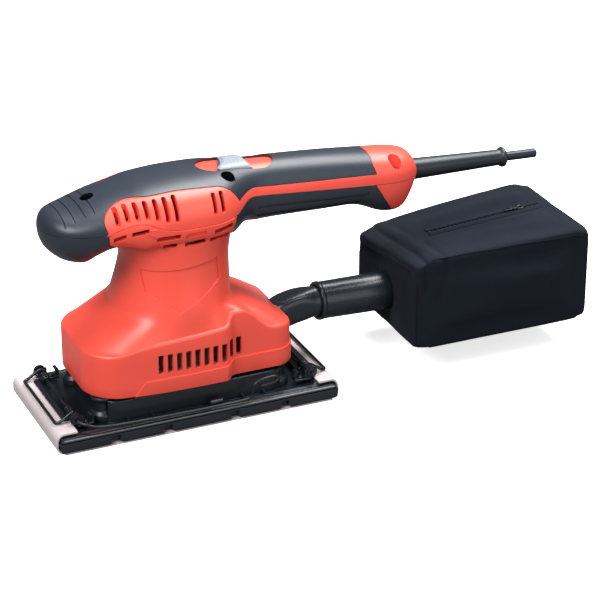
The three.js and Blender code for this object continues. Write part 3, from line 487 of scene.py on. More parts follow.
def bare_metal(name, colour, roughness, stretch=(1, 1, 14)):
    """Turned or drawn metal, with fine marks along one direction."""
    finish = Finish(name, colour, roughness, metallic=1.0)
    marks = finish.noise(2.4, 4, stretch)
    finish.tint(marks, 0.15)
    return finish.surfaced(marks, 0.08, 0.02, 0.5)


def wound_copper(name):
    """Turns of enamelled wire lying side by side."""
    finish = Finish(name, (0.42, 0.14, 0.05), 0.35, metallic=0.85)
    wires = finish.bands("Z", {"Scale": 380, "Distortion": 1.2})
    finish.tint(wires, 0.35)
    return finish.surfaced(wires, 0.1, 0.2, 0.8)


def stacked_steel(name):
    """Thin sheets of core steel, one on another."""
    finish = Finish(name, (0.16, 0.17, 0.18), 0.45, metallic=0.9)
    sheets = finish.bands("Z", {"Scale": 320}, wave_profile="SAW")
    finish.tint(finish.noise(5, 4), 0.3)
    return finish.surfaced(sheets, 0.08, 0.08, 0.6)


def woven(name, colour, pitch):
    """Plain weave: the threads that cross on each face, with uneven yarn and a soft sheen."""
    finish = Finish(name, colour, 0.88, sheen=0.02, gloss=0.15)
    finish.sockets["Sheen Roughness"].default_value = 0.6
    normal = finish.node("ShaderNodeTexCoord").outputs["Normal"]
    facing = finish.node("ShaderNodeSeparateXYZ", {0: normal}).outputs
    wave = {"Scale": 0.31 / (pitch * MM), "Distortion": 0.6, "Detail Scale": 2}
    threads = [finish.bands(direction, wave) for direction in "XYZ"]
    yarn = finish.noise(0.8, 4)
    for axis in range(3):
        crossing = finish.maths("MULTIPLY", threads[axis - 2], threads[axis - 1])
        turned_to = finish.maths("MULTIPLY", facing[axis], facing[axis])
        yarn = finish.maths("ADD", yarn, finish.maths("MULTIPLY", crossing, turned_to))
    patches = finish.noise(24, 5)
    worn = finish.maths("MULTIPLY", finish.ramp(patches, 0.45, 1.0), finish.ramp(yarn, 0.0, 1.0, 0.4, 2.2))
    finish.paint(worn, tuple(c * 0.55 for c in colour), tuple(c * 1.9 for c in colour))
    finish.vary_roughness(patches, 0.06)
    return finish.bumped(yarn, 0.10, 0.5)


def coated_paper(name, colour, grit_colour):
    """Abrasive sheet: a pale coat with darker grit showing through as fine specks."""
    finish = Finish(name, colour, 0.85)
    grit = finish.noise(0.5, 3)
    speckled = finish.blend(finish.ramp(grit, 0.0, 0.65, 0.5, 0.72), colour, grit_colour)
    blotches = finish.ramp(finish.noise(9, 4), 0.0, 0.35)
    finish.paint(blotches, speckled, tuple(c * 0.9 for c in colour))
    return finish.surfaced(grit, 0.08, 0.12, 0.7)


RED = moulded("red_plastic", (0.88, 0.085, 0.054), 0.38, 0.45, 0.012, coat=0.05)
GRIP = moulded("soft_grip", (0.017, 0.024, 0.036), 0.40, 0.6, 0.05)
BLACK = moulded("black_plastic", (0.008, 0.012, 0.019), 0.30, 0.5, 0.012)
RUBBER = moulded("black_rubber", (0.009, 0.013, 0.019), 0.38, 0.7, 0.03)
FOAM = moulded("pad_rubber", (0.009, 0.013, 0.019), 0.5, 0.9, 0.09)
PALE = moulded("pale_plastic", (0.25, 0.28, 0.325), 0.42, 0.5, 0.02)
FAN = moulded("fan_plastic", (0.60, 0.60, 0.54), 0.5, 0.5, 0.02)
FILM = moulded("blue_film", (0.03, 0.10, 0.28), 0.45, 0.8, 0.02)
CARBON = moulded("carbon", (0.012, 0.012, 0.013), 0.7, 0.3, 0.04)
# near-black painted shade for the walls down the screw wells, where shade falls
WELL_SHADE = moulded("painted_well_shade", (0.002, 0.002, 0.003), 0.7, 0.6, 0.02, gloss=0.1)
PLATE_PAINT = painted("black_paint", (0.006, 0.009, 0.014), 0.32)
WIRE = painted("black_wire", (0.009, 0.011, 0.016), 0.33, metallic=0.2, edge=0.0)
DARK_STEEL = bare_metal("dark_steel", (0.045, 0.048, 0.054), 0.4)
STEEL = bare_metal("steel", (0.56, 0.57, 0.58), 0.3)
BRASS = bare_metal("brass", (0.68, 0.48, 0.16), 0.32)
ALUMINIUM = bare_metal("aluminium", (0.60, 0.61, 0.62), 0.42, (1, 1, 1))
COPPER = wound_copper("copper")
CORE = stacked_steel("core_steel")
CLOTH = woven("bag_cloth", (0.0062, 0.0103, 0.0195), 0.7)
PIPING = woven("bag_piping_cloth", (0.004, 0.005, 0.010), 0.5)
PAPER = coated_paper("abrasive_sheet", (0.64, 0.56, 0.58), (0.42, 0.27, 0.22))


# ---- handle and palm knob

CROWN = [(-85, 131), (-83, 137.5), (-78, 141.3), (-67, 143), (-56, 146), (-47, 148.3), (-37, 150.5),
         (-20, 153.6), (1, 154.7), (15, 154.6), (40, 154.3), (63, 153.2), (98, 150.7), (132, 147.2),
         (150, 145.0), (157, 143.2), (160.5, 140.3), (162.5, 135.5)]
UNDERSIDE = [(-85, 131), (-83, 121), (-78, 114.5), (-70, 109.3), (-62, 107.4), (-54, 112), (-46, 116),
             (-38, 117.2), (-25, 115.4), (20, 115.4), (27, 114.6), (32, 109.5), (35, 108.4), (38, 111),
             (42, 114), (50, 115), (58, 115), (100, 114), (115, 113.7), (122, 112.3), (128, 110),
             (135, 106.6), (142, 104.4), (148, 103.9), (153, 105.5), (157, 111), (162.5, 122)]
HALF_WIDTH = [(-85, 0.4), (-83, 10), (-78, 18), (-70, 24), (-62, 27), (-54, 29), (-45, 31), (-30, 33.2),
              (-10, 34.6), (5, 34.8), (18, 34), (26, 32), (32, 29), (38, 25), (44, 21.5), (50, 19.3),
              (60, 18.4), (142, 18.4), (150, 17.2), (157, 14.5), (162.5, 9.5)]
UPPER_POWER = [(-85, 2.1), (-40, 2.3), (30, 2.4), (162, 2.3)]
LOWER_POWER = [(-85, 2.1), (-45, 2.2), (-25, 3.5), (22, 3.5), (34, 1.8), (44, 1.8), (52, 2.3), (162, 2.3)]


def from_tip(x):
    """Distance from the knob's tip, on a scale that makes its round end a straight line."""
    return math.sqrt(max(x - HANDLE["front"], 0))


crown, underside, half_width = (smooth_table(t, from_tip) for t in (CROWN, UNDERSIDE, HALF_WIDTH))
upper_power, lower_power = smooth_table(UPPER_POWER), smooth_table(LOWER_POWER)


def handle_section(station, inset, half_count):
    """One section of the handle: half ovals above and below the seam height."""
    seam_z = HANDLE["seam"]
    half_length = (HANDLE["rear"] - HANDLE["front"]) / 2
    middle = (HANDLE["rear"] + HANDLE["front"]) / 2
    x = middle + (station - middle) * (half_length - inset) / half_length
    width = max(half_width(station) - inset, 0.3)
    halves = []
    for sign, height, power in ((1, crown(station) - seam_z, upper_power(station)),
                                (-1, seam_z - underside(station), lower_power(station))):
        reach = max(height - inset, 0.3)
        arc = [Vector((x, sign * width * powered(math.cos(a), power),
                       seam_z + sign * reach * powered(math.sin(a), power))) for a in turns(0, 180, 48)]
        halves += evenly(arc, half_count)[:-1]
    return halves


def handle_loft(name, inset, half_count=40, spacing=1.7):
    """The handle and knob, inset from their outside. Sections crowd together at the knob's tip."""
    stations = [HANDLE["front"] + (k * 0.33) ** 2 for k in range(15)]
    steps = round((HANDLE["rear"] - stations[-1]) / spacing)
    stations += spread(stations[-1], HANDLE["rear"], steps)[1:]
    return skin(name, [handle_section(x, inset, half_count) for x in stations])


# ---- skirt and neck

CREASE = [(-68, 56), (-58, 55.5), (-30, 60), (10, 63), (20, 64), (26, 70), (32, 70), (51, 55.5), (68, 53.5)]
NECK = {"top": 124, "waist": 104, "radius": 33, "top_radius": 32.6}
SHOULDER_ROLL = 2.2
crease_height = smooth_table(CREASE)


def facing_ends(angle, low=0, high=1):
    """How far a direction points to the front and to the rear, each from 0 to 1."""
    return smoothstep(-math.cos(angle), low, high), smoothstep(math.cos(angle), low, high)


def neck_foot(angle):
    """Radius and height where the neck meets the shoulder: low in front, high and tight behind."""
    front, rear = facing_ends(angle)
    return 39 + 2.5 * front - 3.5 * rear, 79 - 7 * front - 7 * rear


def neck_radius(angle, z):
    """The neck's radius: slimmest above the waist, wider towards its foot."""
    foot_radius, foot = neck_foot(angle)
    rear = 1.6 * facing_ends(angle)[1]
    if z > NECK["waist"]:
        share = (z - NECK["waist"]) / (NECK["top"] - NECK["waist"])
        return mix(NECK["radius"], NECK["top_radius"], share) + rear
    share = (NECK["waist"] - z) / (NECK["waist"] - foot)
    return mix(NECK["radius"] + rear, foot_radius, share ** 1.3)


def plan_half_width(x, inset):
    """Half the skirt's width at X: bowed sides, the step to the duct and two rounded corners."""
    bow = 3.1 * ((x - 8) / 53) ** 2
    side = mix(SKIRT["side"] - bow, SKIRT["rear_side"], smoothstep(x, *STEP)) - inset
    for depth, corner in ((SKIRT["front"] + SKIRT["front_corner"] - x, SKIRT["front_corner"]),
                          (x - (SKIRT["rear"] - SKIRT["rear_corner"]), SKIRT["rear_corner"])):
        radius = corner - inset
        if depth > radius:
            return 0
        if depth > 0:
            return side - radius + math.sqrt(radius ** 2 - depth ** 2)
    return side


def plan_radius(angle, inset):
    """Distance from the Z axis to the skirt's outline in one direction."""
    inside, outside = 0, 90
    for _ in range(24):
        r = (inside + outside) / 2
        if abs(r * math.sin(angle)) < plan_half_width(r * math.cos(angle), inset):
            inside = r
        else:
            outside = r
    return inside


def plan_angles(count):
    """Directions that space the skirt's outline evenly."""
    outline = [Vector((math.cos(a), math.sin(a), 0)) * plan_radius(a, 0) for a in turns(0, 360, 720)]
    return [math.atan2(p.y, p.x) for p in evenly(outline, count)[:-1]]


def skirt_rings(inset, bottom, count=120):
    """The skirt's wall, its sloping shoulder and the round neck, as rings from the bottom up."""
    angles = plan_angles(count)
    plan = [plan_radius(a, inset) for a in angles]
    crease = [crease_height(r * math.cos(a)) - inset for a, r in zip(angles, plan)]
    lip, roll = 0.8, SHOULDER_ROLL

    def ring(place):
        flat = [place(a, r, c) for a, r, c in zip(angles, plan, crease)]
        return [Vector((r * math.cos(a), r * math.sin(a), z)) for a, (r, z) in zip(angles, flat)]

    def shoulder(a, r, c, rise):
        foot_radius, foot = neck_foot(a)
        front, rear = facing_ends(a, 0.2, 0.7)
        z = c + (foot - inset - c) * (1 - (1 - rise) ** (1 + 0.15 * front + 0.4 * rear))
        return mix(r - roll, foot_radius - inset, rise), z

    def neck(a, rise):
        z = mix(neck_foot(a)[1] - inset, NECK["top"], rise)
        flare = smoothstep(z, 100, 122) * (0.8 + 2.6 * math.cos(a) ** 2)
        return neck_radius(a, z) - inset + flare, z

    rings = [ring(lambda a, r, c: (r - lip * (1 - math.sin(t)), bottom + lip * (1 - math.cos(t))))
             for t in turns(0, 90, 2)]
    rings += [ring(lambda a, r, c: (r, mix(bottom + lip, c - roll, share))) for share in (0.25, 0.5, 0.75)]
    rings += [ring(lambda a, r, c: (r - roll * (1 - math.cos(t)), c - roll * (1 - math.sin(t))))
              for t in turns(0, 90, 5)[:-1]]
    first_shoulder = len(rings)
    rings += [ring(lambda a, r, c: shoulder(a, r, c, rise)) for rise in spread(0, 1, 14)]
    rings += [ring(lambda a, r, c: neck(a, rise)) for rise in spread(0, 1, 18)[1:]]

    # the sides blend softly into the neck; front and rear keep their line
    passes = 24
    ease = [mix(0.04, 1, math.sin(a) ** 4) for a in angles]
    for _ in range(passes):
        for k in range(first_shoulder + 3, len(rings) - 2):
            rings[k] = [here.lerp((below + here * 2 + above) / 4, share) for below, here, above, share
                        in zip(rings[k - 1], rings[k], rings[k + 1], ease)]
    return rings


# ---- edges of the soft grips and the seam

SEAM_LINE = [(-100, 131.5), (-54, 131.6), (-47, 133.6), (-36, 136.6), (-27, 136.2), (-19, 132.4), (-8, 130),
             (16, 129.6), (31, 130.6), (36, 133), (41, 135.9), (46, 136.8), (62, 135.1), (130, 129.6),
             (180, 127)]
UPPER_GRIP_EDGE = [(-54, 131.7), (-51.2, 132.9), (-52.2, 139.6), (-47.2, 144.9), (-36, 148.7), (-21, 149.7),
                   (-4, 150.6), (16, 149.8), (24, 148.8), (30, 145), (34.6, 138.6)]
UPPER_GRIP_REAR = [(34.6, 138.6), (38, 140.2), (42, 141.4), (48, 142.2), (62, 140.7), (130.5, 136.5)]
LOWER_GRIP_EDGE = [(30, 70), (28, 110), (31.5, 130), (36, 140), (128, 140), (130, 129), (136, 119.5),
                   (146, 105.5), (147, 90)]
KNOB_GRIP_EDGE = [(-100, 140), (-51.8, 140), (-50.2, 125.4), (-46, 122.6), (-40, 121), (-24, 117),
                  (-24, 90), (-100, 90)]
GROOVES = [[(50, 127.6), (124, 122.6), (126.5, 124.4), (50, 129.6)],
           [(50, 121.4), (118, 117.0), (121.5, 119.4), (50, 123.6)]]


def shifted(line, dx, dz):
    return [(p[0] + dx, p[1] + dz) for p in line]


def within(thing, outline):
    """The part of a piece inside an outline in X and Z."""
    return common(thing, prism("region", outline))


def flat_curve(points):
    return [(p.x, p.y) for p in smooth_line([Vector(p) for p in points], 5)]


seam = flat_curve(SEAM_LINE)
grip_edge = [(-100, 131.6)] + flat_curve(UPPER_GRIP_EDGE) + flat_curve(UPPER_GRIP_REAR)[1:]
grip_edge += [(129, 142), (130, 170), (-100, 170)]


def under_seam(gap):
    return prism("below", shifted(seam, 0, -gap) + [(180, 0), (-100, 0)])


def grip_layer(name, outer, under, outline):
    """The handle between its surface and the skin's depth, inside the outline."""
    return within(cut(twin(outer, name), under, keep=True), outline)


def recess(core, outline, sideways, upward):
    """What the shell gives up to a soft grip, with the gap around the grip's edge."""
    tool = prism("recess", outline)
    join(tool, prism("shifted", shifted(outline, sideways, 0)))
    join(tool, prism("shifted", shifted(outline, 0, upward)))
    return cut(tool, core, keep=True)


# ---- ventilation slots

def slot_tool(x, y, z, radius):
    """A slot with rounded corners, cut along Y."""
    radius = min(radius, (x[1] - x[0]) / 2 - 0.05, (z[1] - z[0]) / 2 - 0.05)
    return prism("slot", rounded(x, z, radius, 3), y)


def upright_slot(x, width, y, z, radius):
    return slot_tool((x - width / 2, x + width / 2), y, z, radius)


def side_vents():
    """The row of upright slots low on both sides of the skirt."""
    count, first, pitch, width = 10, -24.3, 5.9, 3.6
    return both_sides([upright_slot(first + i * pitch, width, (-50, -28), (40, 52.5), 0.7)
                       for i in range(count)])


def dome_vents():
    """Seven slots in front whose feet follow the seam, and two shorter ones behind."""
    first, pitch, width = -44.4, 6.0, 3.0
    feet = (136.6, 138.0, 138.5, 138.5, 137.2, 135.2, 134.9)
    slots = [upright_slot(first + i * pitch, width, (-50, -20), (foot, 146.6 + i * 0.45), 1.2)
             for i, foot in enumerate(feet)]
    slots += [upright_slot(x, 2.8, (-50, -22), (135.4, 147.4), 1.0) for x in (16.3, 21.7)]
    return both_sides(slots)


def band_row(rows):
    """Slots of the neck band: start, end, height of the middle and slope along X."""
    slots = []
    for x0, x1, z, slope in rows:
        slot = slot_tool((x0, x1), (-50, -25), (z - 1.5, z + 1.5), 0.5)
        for vertex in slot.data.vertices:
            vertex.co.z += slope * (vertex.co.x - (x0 + x1) / 2 * MM)
        slots.append(slot)
    return both_sides(slots)


OPEN_SLOTS = [(-48, -40.4, 129.4, 0.28), (-37, -26.4, 131.5, 0.12), (-22, -7.2, 126, 0),
              (14.8, 27.6, 125.6, 0.15), (-18, -8.8, 119.8, 0), (12.8, 25.4, 119.8, 0.12)]
BLIND_SLOTS = [(-4, 9.6, 125.5, 0.03), (-4, 9.6, 119.5, 0.03)]


# ---- shells and grips

def screw_rooms(screws, grow=0.0, above=-GAP):
    """The wells above the screws' heads."""
    return gathered([upright("room", x, y, SCREW_HOLE + grow, (head + above, 165)) for x, y, head in screws])


def switch_oval(z):
    middle, reach, side = SWITCH["middle"], SWITCH["half_length"], SWITCH["half_width"]
    return slab("oval", rounded((middle - reach, middle + reach), (-side, side), side - 0.1, 14), z)


def cord_z(x):
    return CORD["z"] - (x - CORD["guard"]) * CORD["drop"] / (CORD["end"] - CORD["guard"])


def pipe_z(x):
    return DUCT["height"] - SLEEVE["drop"] * (x - SLEEVE["start"]) / (SLEEVE["end"] - SLEEVE["start"])


def lower_band():
    """The part of the skirt's wall under the vents stands a little proud."""
    outline = [(-42, 26), (-34.5, 36.3), (19, 37.2), (26, 38.6), (80, 38.6), (80, 26)]
    return within(skin("lower_band", skirt_rings(-0.7, SKIRT["bottom"])), outline)


def slot_band():
    """The band around the neck that carries the two rows of slots, with a rim along its lower edge."""
    lower = [(-26, 129.6), (-25, 128.8), (-21.8, 126.9), (-19.6, 121), (-18, 118), (-13, 115.9), (-6, 115.6),
             (11, 115.6), (25, 117.3), (29.5, 120)]
    band = within(handle_loft("slot_band", -0.7), lower + [(30, 133), (-29, 133), (-29, 131.2)])
    inner_edge = [(x * 0.96, z + 0.9) for x, z in lower[::-1]]
    return join(band, within(handle_loft("rim", -1.1), lower + inner_edge))


def panel_recess():
    """The sunken five-sided panel on each side of the neck."""
    outline = [(-27, 88.5), (-28, 101.5), (-8, 103.2), (18, 106), (19, 91), (-10, 76.2)]
    return cut(prism("panel", outline), skin("inside", skirt_rings(0.6, SKIRT["bottom"])))


def build_shells():
    """The two halves of the red shell and the three soft grips, cut out of the same lofts."""
    outer = handle_loft("outer", 0)
    under = handle_loft("under", HANDLE["skin"])
    core = handle_loft("core", HANDLE["skin"] + GAP)
    hollow = handle_loft("hollow", HANDLE["wall"], 16, 6)
    neck_hollow = skin("neck_hollow", skirt_rings(WALL, SKIRT["bottom"] - 5, 60))
    around_neck = skin("around_neck", skirt_rings(-GAP, SKIRT["bottom"]))
    above = prism("above", seam + [(180, 200), (-100, 200)])
    rooms = screw_rooms(SCREWS)
    cord_hole = tube("cord_hole", [(x, 0, cord_z(x)) for x in (140, 150, 170)], CORD["hole"], 32)

    # top cover
    top = common(twin(outer, "top_shell"), above, keep=True)
    cut(top, hollow, keep=True)
    walls = both_sides([box("wall", AIR_WALL["x"], AIR_WALL["y"], (126, 160))])
    common(walls, outer, keep=True)
    join(top, common(walls, above, keep=True))
    cut(top, recess(core, grip_edge, GAP, -GAP))
    cut(top, cut(switch_oval((145, 165)), core, keep=True))
    cut(top, dome_vents())
    bosses = gathered([upright("boss", x, y, SCREW_HOLE + 1.6, (head - 9, 165)) for x, y, head in SCREWS[3:]])
    common(bosses, outer, keep=True)
    join(top, common(twin(bosses, "upper_bosses"), above, keep=True))
    cut(top, rooms, keep=True)
    cut(top, screw_rooms(LINED_SCREWS, 1.1, GAP))
    cut(top, box("stem_slot", (32.6, 43.4), (-3.2, 3.2), (140, 160)))
    cut(top, cord_hole, keep=True)

    # upper grip, with a lining down its screw wells and four lines across the knob
    upper = grip_layer("upper_soft_grip", outer, under, grip_edge)
    cut(upper, switch_oval((145, 165)))
    join(upper, common(screw_rooms(LINED_SCREWS, 0.8, 2 * GAP), outer, keep=True))
    cut(upper, rooms, keep=True)
    places = (-74, -68, -61.5, -55.5)
    lines = gathered([box("line", (x - 0.4, x + 0.4), (-19, 19), (130, 165)) for x in places])
    cut(upper, cut(lines, handle_loft("floor", 0.5)))

    # motor housing with its raised bands and blank panels
    body = skin("motor_shell", skirt_rings(0, SKIRT["bottom"]))
    join(body, lower_band())
    join(body, outer, keep=True)
    join(body, slot_band())
    cut(body, panel_recess())
    cut(body, neck_hollow, keep=True)
    cut(body, hollow, keep=True)
    join(body, bosses)
    common(body, under_seam(GAP))
    for outline in (LOWER_GRIP_EDGE, KNOB_GRIP_EDGE):
        cut(body, cut(recess(core, outline, GAP, GAP), around_neck, keep=True))
    cut(body, band_row(OPEN_SLOTS))
    cut(body, cut(band_row(BLIND_SLOTS), handle_loft("floor", 0.4)))
    cut(body, side_vents())
    cut(body, tube("port", [(54, 0, 42.0), (64, 0, 43.6), (75, 0, 45.4)], DUCT["radius"] + 3 * GAP, 32))
    cut(body, cord_hole)
    cut(body, rooms)

    # the two grips under the seam
    below = under_seam(0.1)
    knob = grip_layer("knob_soft_grip", outer, under, KNOB_GRIP_EDGE)
    lower = grip_layer("lower_soft_grip", outer, under, LOWER_GRIP_EDGE)
    for grip in (knob, lower):
        common(grip, below, keep=True)
        cut(grip, around_neck, keep=True)
    grooves = gathered([prism("groove", outline) for outline in GROOVES])
    cut(lower, cut(grooves, handle_loft("floor", 0.7)))
    for spare in (above, below, around_neck, outer, under, core, neck_hollow, hollow):
        remove(spare)

    for shell, node in ((top, "top_cover"), (body, "motor_housing")):
        show(shell, 35, RED, "housing", "red_shell", node)
    for grip, node in ((upper, "upper_grip"), (knob, "knob_grip"), (lower, "lower_grip")):
        show(grip, 35, GRIP, "housing", "soft_grip", node)
    # faces down the screw wells get the near-black painted shade in place of the shell's or grip's own colour
    for part, wells in ((top, LINED_SCREWS), (upper, SCREWS)):
        part.data.materials.append(WELL_SHADE)
        for face in part.data.polygons:
            x, y, _ = face.center / MM
            nearest = min(math.hypot(x - well[0], y - well[1]) for well in wells)
            face.material_index = int(nearest < SCREW_HOLE + 0.05)


build_shells()


# ---- switch button and screws

def crown_at(x, y, inset):
    """Height of the handle's crown away from the middle line."""
    reach = half_width(x) - inset
    power = upper_power(x)
    rise = (1 - min(abs(y) / reach, 1) ** power) ** (1 / power)
    return HANDLE["seam"] + (crown(x) - HANDLE["seam"] - inset) * rise


def build_slider():
    """A raised button, hollowed in front, with sloping ends and cross ridges."""
    side = SWITCH["half_width"] - 0.8
    front_edge = smooth_table([(-side, 29.4), (-8.4, 27.4), (-6, 28.9), (-3, 31.4), (0, 32.6), (3, 33.5),
                               (6, 34.2), (side, 34.6)])
    rear_edge = smooth_table([(0, 47.8), (5, 48.4), (side, 49.8)])
    proud, depth, ridge_pitch = 1.2, HANDLE["skin"] / 2, 2.4
    rings = []
    for share in spread(0, 1, 80):
        top, bottom = [], []
        for y in spread(-side, side, 40):
            front, rear = front_edge(y), rear_edge(abs(y))
            x = mix(front, rear, share)
            lift = proud * smoothstep(x, front, front + 2.5) * (1 - smoothstep(x, rear - 2, rear))
            lift += (0.3 * math.cos(math.pi * (x - 33) / ridge_pitch) ** 8 * smoothstep(x, 34, 35)
                     * (1 - smoothstep(x, 44, 45)) * (1 - smoothstep(abs(y), side - 3.4, side - 2.6)))
            flat = 1 - abs(y / side) ** 10
            top.append((x, y, crown_at(x, y, 0) + 0.15 + lift * flat))
            bottom.append((x, y, crown_at(x, y, depth)))
        rings.append(top + bottom[::-1])
    button = join(skin("slide_button", rings), box("stem", (38.9, 43), (-2.6, 2.6), (146.8, 153.0)))
    show(button, 40, PALE, "switch_slider", "pale_plastic", "switch_slider")


def build_screws():
    """Round-headed screws with a cross recess."""
    length, shank, head, height = 16, 1.6, 3.2, 2.4
    for i, (x, y, z) in enumerate(SCREWS):
        dome = [(head * math.cos(a), z + height * (0.35 + 0.65 * math.sin(a))) for a in turns(0, 90, 7)]
        screw = turned(f"screw_{i + 1}", [(0, z - length), (shank * 0.4, z - length + 0.4),
                                          (shank, z - length + 2.5), (shank, z), (head, z)] + dome, 36)
        for angle in (20, 110):
            blade = box("blade", (-2.1, 2.1), (-0.45, 0.45), (z + 1, z + 4))
            cut(screw, spun(blade, math.radians(angle)))
        show(moved(screw, x, y, 0), 40, STEEL, "housing", "steel", f"cover_screw_{i + 1}")


# ---- cord, guard, nozzle and collar

def build_cord():
    """The cord, and its ribbed guard laid along the cord's line from the handle's end."""
    start, end = 146 - CORD["guard"], CORD["end"] - CORD["guard"]
    taper = list(zip(spread(6.9, 5.2, 12), spread(1, end - 5.4, 12)))
    profile = [(3.5, start), (7.7, start), (7.9, start + 0.3), (7.9, start + 2.8), (7.6, start + 3.2),
               (6.9, start + 3.4)] + taper + [
        (5.25, end - 4.4), (5.5, end - 3.6), (6.1, end - 2.9), (6.5, end - 2.2), (6.6, end - 1.4),
        (6.4, end - 0.6), (5.8, end - 0.1), (5.0, end), (3.9, end), (3.5, end - 0.5)]
    tilt = math.atan2(CORD["drop"], end)
    guard = spun(turned("cord_sleeve", profile, 48), math.pi / 2 + tilt, "Y")
    moved(guard, CORD["guard"], 0, CORD["z"])
    show(guard, 50, RUBBER, "housing", "black_rubber", "cord_guard")

    path = [(72, 0, 122), (84, 0, 121.1), (106, 0, 121.2), (130, 0, 126)]
    path += [(x, 0, cord_z(x)) for x in (146, 170, 200, 228)] + [(240, 0, 124.9), (252.7, 0, 124.4)]
    cord = tube("mains_cord", smooth_line(path), CORD["radius"], 24)
    show(cord, 50, RUBBER, "housing", "black_rubber", "cord")


def pipe_section(x, half, power, tilt, middle=None, count=48):
    """A section across the pipe: a circle at power 2, squarer above that."""
    middle = pipe_z(x) if middle is None else middle
    ring = []
    for a in circle(count, 0.5):
        z = half * powered(math.sin(a), power)
        ring.append((x - z * math.sin(tilt), half * powered(math.cos(a), power), middle + z * math.cos(tilt)))
    return ring


def build_nozzle():
    """An elbow that leaves the skirt with flat sides and turns round where the collar fits."""
    points = [(DUCT["start"], 42.6), (66, 43.4), (74, 45.6), (83, 47.5)]
    height = smooth_table(points + [(x, pipe_z(x)) for x in (91, 97, 107, 117, DUCT["end"])])
    outside, inside = [], []
    for x in spread(DUCT["start"], DUCT["end"], 48):
        tilt = math.atan2(height(x + 0.5) - height(x - 0.5), 1)
        flat = smoothstep(x, 67, 76) * (1 - smoothstep(x, 82, 95))
        radius = DUCT["radius"] - 0.5 * smoothstep(x, DUCT["end"] - 2, DUCT["end"]) - 0.3 * flat
        outside.append(pipe_section(x, radius, 2 + 1.6 * flat, tilt, height(x)))
        inside.append(pipe_section(x, DUCT["inner"] - 0.3 * flat, 2 + 1.2 * flat, tilt, height(x)))
    nozzle = skin("nozzle", outside + inside[::-1], loop=True)
    show(nozzle, 40, BLACK, "housing", "black_plastic", "dust_nozzle")


def build_collar():
    """The bag's collar, with a rolled lip where it is pushed over the nozzle."""
    start, end, radius, inner = SLEEVE["start"], SLEEVE["end"], SLEEVE["radius"], SLEEVE["inner"]
    tilt = -math.atan2(SLEEVE["drop"], end - start)
    profile = [(start, radius - 0.7), (start + 0.15, radius - 0.25), (start + 0.5, radius),
               (start + 2.4, radius), (start + 2.7, radius - 0.2), (start + 3.0, radius - 0.45),
               (start + 12, radius - 0.4), (end - 6, radius - 0.1), (end - 0.6, radius), (end, radius - 0.4),
               (end, inner + 0.4), (end - 0.5, inner), (start + 0.5, inner), (start, inner + 0.4)]
    collar = skin("bag_collar", [pipe_section(x, r, 2, tilt, count=56) for x, r in profile], loop=True)
    show(collar, 40, BLACK, "bag", "black_plastic", "bag_sleeve")


# ---- base plate, pad and sheet

def feet_places():
    return [(sx * FOOT["x"], sy * FOOT["y"]) for sx in (-1, 1) for sy in (-1, 1)]


def dust_holes():
    return gathered([upright("hole", x, y, DUST_HOLES["radius"], (-2, 14))
                     for x in DUST_HOLES["x"] for y in DUST_HOLES["y"]])


def build_sheet():
    """The abrasive sheet: flat under the pad, turned up at both ends and folded onto the plate."""
    r, thick = PAD["corner"], PAD["paper"]
    half, high = PAD["length"] / 2 + 1, PLATE["end_top"] + GAP + thick
    reach, side, roll = half - 13.5, PAD["width"] / 2 - 1.5, 5.5

    def arc(x, z, radius, start, end):
        return [(x + radius * math.cos(a), z + radius * math.sin(a)) for a in turns(start, end, 8)]

    right = arc(half - r, r, r, -90, 0) + arc(half - roll, high - roll, roll, 0, 90)
    right += [(reach, high), (reach, high - thick)]
    right += arc(half - roll, high - roll, roll - thick, 90, 0) + arc(half - r, r, r - thick, 0, -90)
    sheet = prism("sheet", right + [(-x, z) for x, z in right[::-1]], (-side, side))
    # the turned-up ends are a little narrower than the sole
    for x, z in (((half - r, half + 1), (-1, high + 1)),
                 ((reach - 1, half - r + 0.1), (PAD["foam_top"], high + 1))):
        cut(sheet, gathered([box("trim", on_side(end, *x), on_side(edge, 43.3, side + 1), z)
                             for end in (-1, 1) for edge in (-1, 1)]))
    cut(sheet, dust_holes())
    show(sheet, 30, PAPER, "base", "paper", "abrasive_paper")


def build_foam():
    """The pad: blocks along both long sides with rounded gaps between them."""
    half, side = PAD["length"] / 2 - GAP, PAD["width"] / 2
    low, high, r = PAD["paper"] + GAP, PAD["foam_top"], PAD["corner"] - PAD["paper"] - GAP
    depth, width, soft = 3.6, 2.1, 2.4
    gap = [(width + soft, 0), (width + soft * 0.35, soft * 0.3), (width, soft), (width, depth)]
    near = [(-half + 0.8, -side)]
    for x in (-56, -22, 22, 56):
        near += [(x - dx, dy - side) for dx, dy in gap] + [(x + dx, dy - side) for dx, dy in gap[::-1]]
    near += [(half - 0.8, -side), (half, -side + 0.8)]
    foam = slab("pad", near + [(-x, -y) for x, y in near], (low, high), 1.9, 5, (True, False))
    turn = [(half - r + r * math.sin(a), low + r * (1 - math.cos(a))) for a in turns(0, 90, 10)]
    mould = turn + [(half, 20), (-half, 20)] + [(-x, z) for x, z in turn[::-1]]
    roof = box("roof", (-half - 1, half + 1), (-side + 0.4, side - 0.4), (high - 1.2, high))
    join(within(foam, mould), within(roof, mould))
    cut(foam, dust_holes())
    show(foam, 40, FOAM, "base", "black_rubber", "pad_foam")


# The rail's section, from its outer lower edge: across, up
RAIL = [(-7, 0), (-0.9, 0), (-0.35, 0.3), (0, 0.7), (-0.05, 1.1), (-0.35, 1.45), (-1.25, 1.9), (-1.6, 1.8),
        (-1.8, 1.5), (-5.6, 2.85), (-6.1, 2.95), (-6.6, 2.8), (-7, 2.3)]
RAIL_ENDS = [(0, 0.45), (0.35, 0.7), (1.0, 0.88), (2.0, 0.97), (3.2, 1)]


